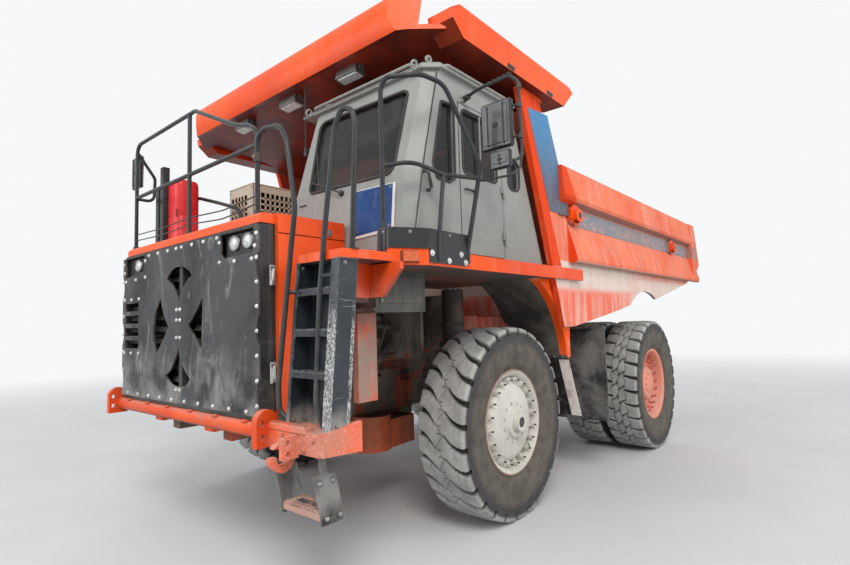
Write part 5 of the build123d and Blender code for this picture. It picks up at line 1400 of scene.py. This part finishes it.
p = Piece("engine_dress")
p.block((0.392, -1.6, 1.45), (0.56, -0.45, 1.95), "frame_dirt", 0.02)
for i in range(6):
    y = -1.5 + 0.18 * i
    p.block((0.55, y, 1.72), (0.6, y + 0.12, 1.9), "iron", 0.015)
p.block((0.45, -1.98, 1.42), (1.1, -1.94, 2.27), "frame_dirt", 0.01)
p.block((0.45, -0.4, 1.5), (1.05, -0.36, 2.27), "frame_dirt", 0.01)
p.tube([(0.62, -1.93, 1.55), (0.66, -1.5, 1.6), (0.7, -1.1, 1.48), (0.68, -0.6, 1.55),
        (0.62, -0.42, 1.7)], 0.028, "rubber", 0.2)
p.tube([(0.8, -1.93, 1.8), (0.84, -1.4, 1.7), (0.82, -0.9, 1.86), (0.74, -0.42, 1.8)], 0.02,
       "rubber", 0.3)
p.tube([(0.6, -1.93, 2.05), (0.7, -1.3, 2.12), (0.7, -0.42, 2.08)], 0.045, "frame_dirt", 0.3)
for z, y in ((1.62, -1.2), (1.66, -0.95), (1.6, -0.7)):
    p.tube([(0.58, y, z), (0.72, y + 0.03, z - 0.05), (0.95, y + 0.05, z - 0.02),
            (1.0, y + 0.1, z + 0.2)], 0.012, "rubber", 0.08, 8)
p.lathe([(-0.01, 0.125), (0.03, 0.13), (0.05, 0.122)], (1.15, 0, 1.245), Z, "iron")
p.lathe([(-0.03, 0.118), (0.0, 0.128), (0.02, 0.12)], (1.15, 0, 1.86), Z, "iron")
p.mirror()
for x in (1.15, -1.15):
    p.bolts(loop((x, 0, 2.2), X * 0.08, Y * 0.08, 8), Z, "iron", 0.012, 0.01)
p.make("chassis", slot="iron")

p = Piece("frame_dress")
p.bolts([(0.53, y, 1.33) for y in np.arange(-1.9, 2.2, 0.35)], X, "iron", 0.013, 0.01)
p.tube([(0.55, -0.2, 1.32), (0.56, 1.2, 1.3), (0.56, 2.1, 1.34), (0.56, 2.7, 1.6),
        (0.56, 3.1, 1.62)], 0.014, "rubber", 0.3, 8)
p.tube([(0.56, -0.2, 1.26), (0.575, 1.2, 1.22), (0.57, 2.1, 1.27), (0.57, 2.8, 1.42)], 0.011,
       "iron", 0.3, 8)
p.block((0.36, 4.855, 1.42), (0.52, 4.875, 1.58), "black", 0.006)
for x, look in ((0.4, "red"), (0.48, "amber")):
    p.lathe([(0, 0.04), (0.012, 0.04), (0.02, 0.028), (0.022, 0.0)], (x, 4.875, 1.5), Y, look, 20)
p.mirror()
p.make("chassis", slot="iron")

# Seat base, console, steering wheel and dashboard seen through the glass
p = Piece("cab_inside")
p.block((1.02, -0.74, 2.96), (1.48, -0.25, 3.0), "trim", 0.02)
p.block((0.56, -1.15, 2.46), (0.9, -0.3, 2.78), "trim", 0.02)
hub = Vector((1.25, -1.015, 3.095))
tilt = Vector((0, 0.447, 0.894))
p.tube(loop(hub, X * 0.197, tilt.cross(X) * 0.197, 24, extra=1), 0.017, "trim", 0.5, 10, caps=False)
p.lathe([(0, 0.05), (0.02, 0.045), (0.03, 0.0)], hub, tilt, "trim", 20)
p.block((0.5, -1.36, 3.0), (1.88, -1.22, 3.045), "trim", 0.015)
p.block((1.0, -1.3, 3.04), (1.46, -1.2, 3.13), "trim", 0.02)
p.make("chassis", slot="trim")


def cushion(name, low, high, slant):
    """Crowned seat pad with a stitched channel: lying flat, or standing with its face ahead and
    leaning by slant along y per metre of height."""
    low, high = Vector(low), Vector(high)
    size = high - low
    n = 14
    row = n + 1
    base = row * row
    grid = [(2 * i / n - 1, 2 * k / n - 1) for i in range(row) for k in range(row)]
    crown = []
    for u, v in grid:
        fall = max(0.0, (1 - u ** 6) * (1 - v ** 6))
        channel = sum(0.07 * math.exp(-(d / 0.05) ** 2) for d in (abs(u) - 0.55, v - 0.1))
        crown.append(0.72 + 0.28 * fall ** 0.5 - channel)
    points = []
    for (u, v), h in zip(grid * 2, crown + [0.0] * base):
        pull = 1 - 0.02 * (u * u * v * v)
        across, along = (u * pull + 1) / 2, (v * pull + 1) / 2
        if slant is None:
            points.append((low.x + size.x * across, low.y + size.y * along, low.z + size.z * h))
        else:
            rise = size.z * along
            points.append((low.x + size.x * across, high.y - size.y * h + slant * rise,
                           low.z + rise))
    faces = []
    for a in (i * row + k for i in range(n) for k in range(n)):
        faces.append([a, a + row, a + row + 1, a + 1])
        faces.append([base + a, base + a + 1, base + a + row + 1, base + a + row])
    for k in range(n):
        for a, b in ((k, k + 1), (n * row + k + 1, n * row + k), ((k + 1) * row, k * row),
                     (k * row + n, (k + 1) * row + n)):
            faces.append([a, b, base + b, base + a])
    p = Piece(name)
    p.add(points, faces, "seat_cloth")
    p.make("chassis", slot="trim", sharp=60)


cushion("seat_pad", (1.0, -0.76, 2.955), (1.5, -0.22, 3.055), None)
cushion("seat_back", (1.0, -0.345, 3.0), (1.5, -0.255, 3.56), 0.1)


# Stage: pale floor, soft lamps and the camera

def stage():
    floor = bpy.data.meshes.new("floor")
    floor.from_pydata(loop((0, 0, 0), X * 60, Y * 60, 96), [], [list(range(96))])
    m = Look("floor_look")
    m.base((0.62, 0.62, 0.61), (0.58, 0.58, 0.575), 0.6, 0.3, 0.7)
    m.done(0.9, m.grain(30.0, 0.05, 0.002))
    path = m.node("ShaderNodeLightPath").outputs
    seen = m.most(path["Is Camera Ray"], path["Is Glossy Ray"], path["Is Transmission Ray"])
    reach = m.node("ShaderNodeVectorMath", m.coord, operation="LENGTH").outputs["Value"]
    light = m.node("ShaderNodeEmission", PALE, 1.0)
    blend = m.node("ShaderNodeMixShader", m.mul(seen, m.range(reach, 5.0, 24.0)),
                   m.shader.outputs[0], light.outputs[0])
    m.put(m.tree.nodes["Material Output"].inputs["Surface"], blend.outputs[0])
    floor.materials.append(m.mat)
    placed("floor", floor)


def lamp(name, place, target, size, power, colour=(1, 1, 1)):
    data = bpy.data.lights.new(name, "AREA")
    data.shape = "DISK"
    data.size = size
    data.energy = power
    data.color = colour
    o = placed(name, data)
    o.location = Vector(place)
    o.rotation_euler = (Vector(target) - Vector(place)).to_track_quat("-Z", "Y").to_euler()


def sky():
    """Bluish light, stronger from above, with a pale backdrop for what looks straight at it."""
    world = bpy.data.worlds.new("world")
    world.use_nodes = True
    nodes = world.node_tree.nodes
    link = world.node_tree.links.new
    light = nodes["Background"]
    light.inputs["Color"].default_value = (0.9, 0.95, 1.0, 1.0)
    split = nodes.new("ShaderNodeSeparateXYZ")
    link(nodes.new("ShaderNodeTexCoord").outputs["Generated"], split.inputs[0])
    rise = nodes.new("ShaderNodeMapRange")
    for i, value in enumerate((-0.2, 0.7, 0.3, 0.8), 1):
        rise.inputs[i].default_value = value
    link(split.outputs[2], rise.inputs[0])
    link(rise.outputs[0], light.inputs["Strength"])
    path = nodes.new("ShaderNodeLightPath")
    seen = path.outputs["Is Camera Ray"]
    for ray in ("Is Glossy Ray", "Is Transmission Ray"):
        either = nodes.new("ShaderNodeMath")
        either.operation = "MAXIMUM"
        link(seen, either.inputs[0])
        link(path.outputs[ray], either.inputs[1])
        seen = either.outputs[0]
    pale = nodes.new("ShaderNodeBackground")
    pale.inputs["Color"].default_value = (*PALE, 1.0)
    blend = nodes.new("ShaderNodeMixShader")
    for socket, source in zip(blend.inputs, (seen, light.outputs[0], pale.outputs[0])):
        link(source, socket)
    link(blend.outputs[0], nodes["World Output"].inputs["Surface"])
    bpy.context.scene.world = world


def camera():
    yaw, pitch, roll = (math.radians(a) for a in (40.384, 4.47, -1.706))
    f = Vector((-math.sin(yaw) * math.cos(pitch), math.cos(yaw) * math.cos(pitch), math.sin(pitch)))
    r = Vector((math.cos(yaw), math.sin(yaw), 0))
    u = r.cross(f)
    right = math.cos(roll) * r + math.sin(roll) * u
    up = -math.sin(roll) * r + math.cos(roll) * u
    data = bpy.data.cameras.new("camera")
    data.sensor_fit = "HORIZONTAL"
    data.sensor_width = 36.0
    data.lens = 21.9
    data.clip_end = 200
    o = placed("camera", data)
    o.matrix_world = Matrix((right, up, -f)).transposed().to_4x4()
    o.matrix_world.translation = Vector((4.488, -4.363, 1.863)) - ORIGIN
    bpy.context.scene.camera = o


stage()
sky()
lamp("key", (9.0, -11.0, 12.0), (0.0, -1.0, 1.6), 6.0, 1400, (1.0, 0.975, 0.94))
lamp("front", (-6.0, -14.0, 6.0), (0.0, -2.0, 1.8), 8.0, 620, (0.95, 0.98, 1.0))
lamp("left", (14.0, 2.0, 6.0), (0.5, 1.0, 1.6), 7.0, 560)
lamp("back", (-9.0, 12.0, 9.0), (0.0, 1.0, 2.0), 8.0, 500)
camera()
bpy.context.scene.view_settings.view_transform = "Standard"
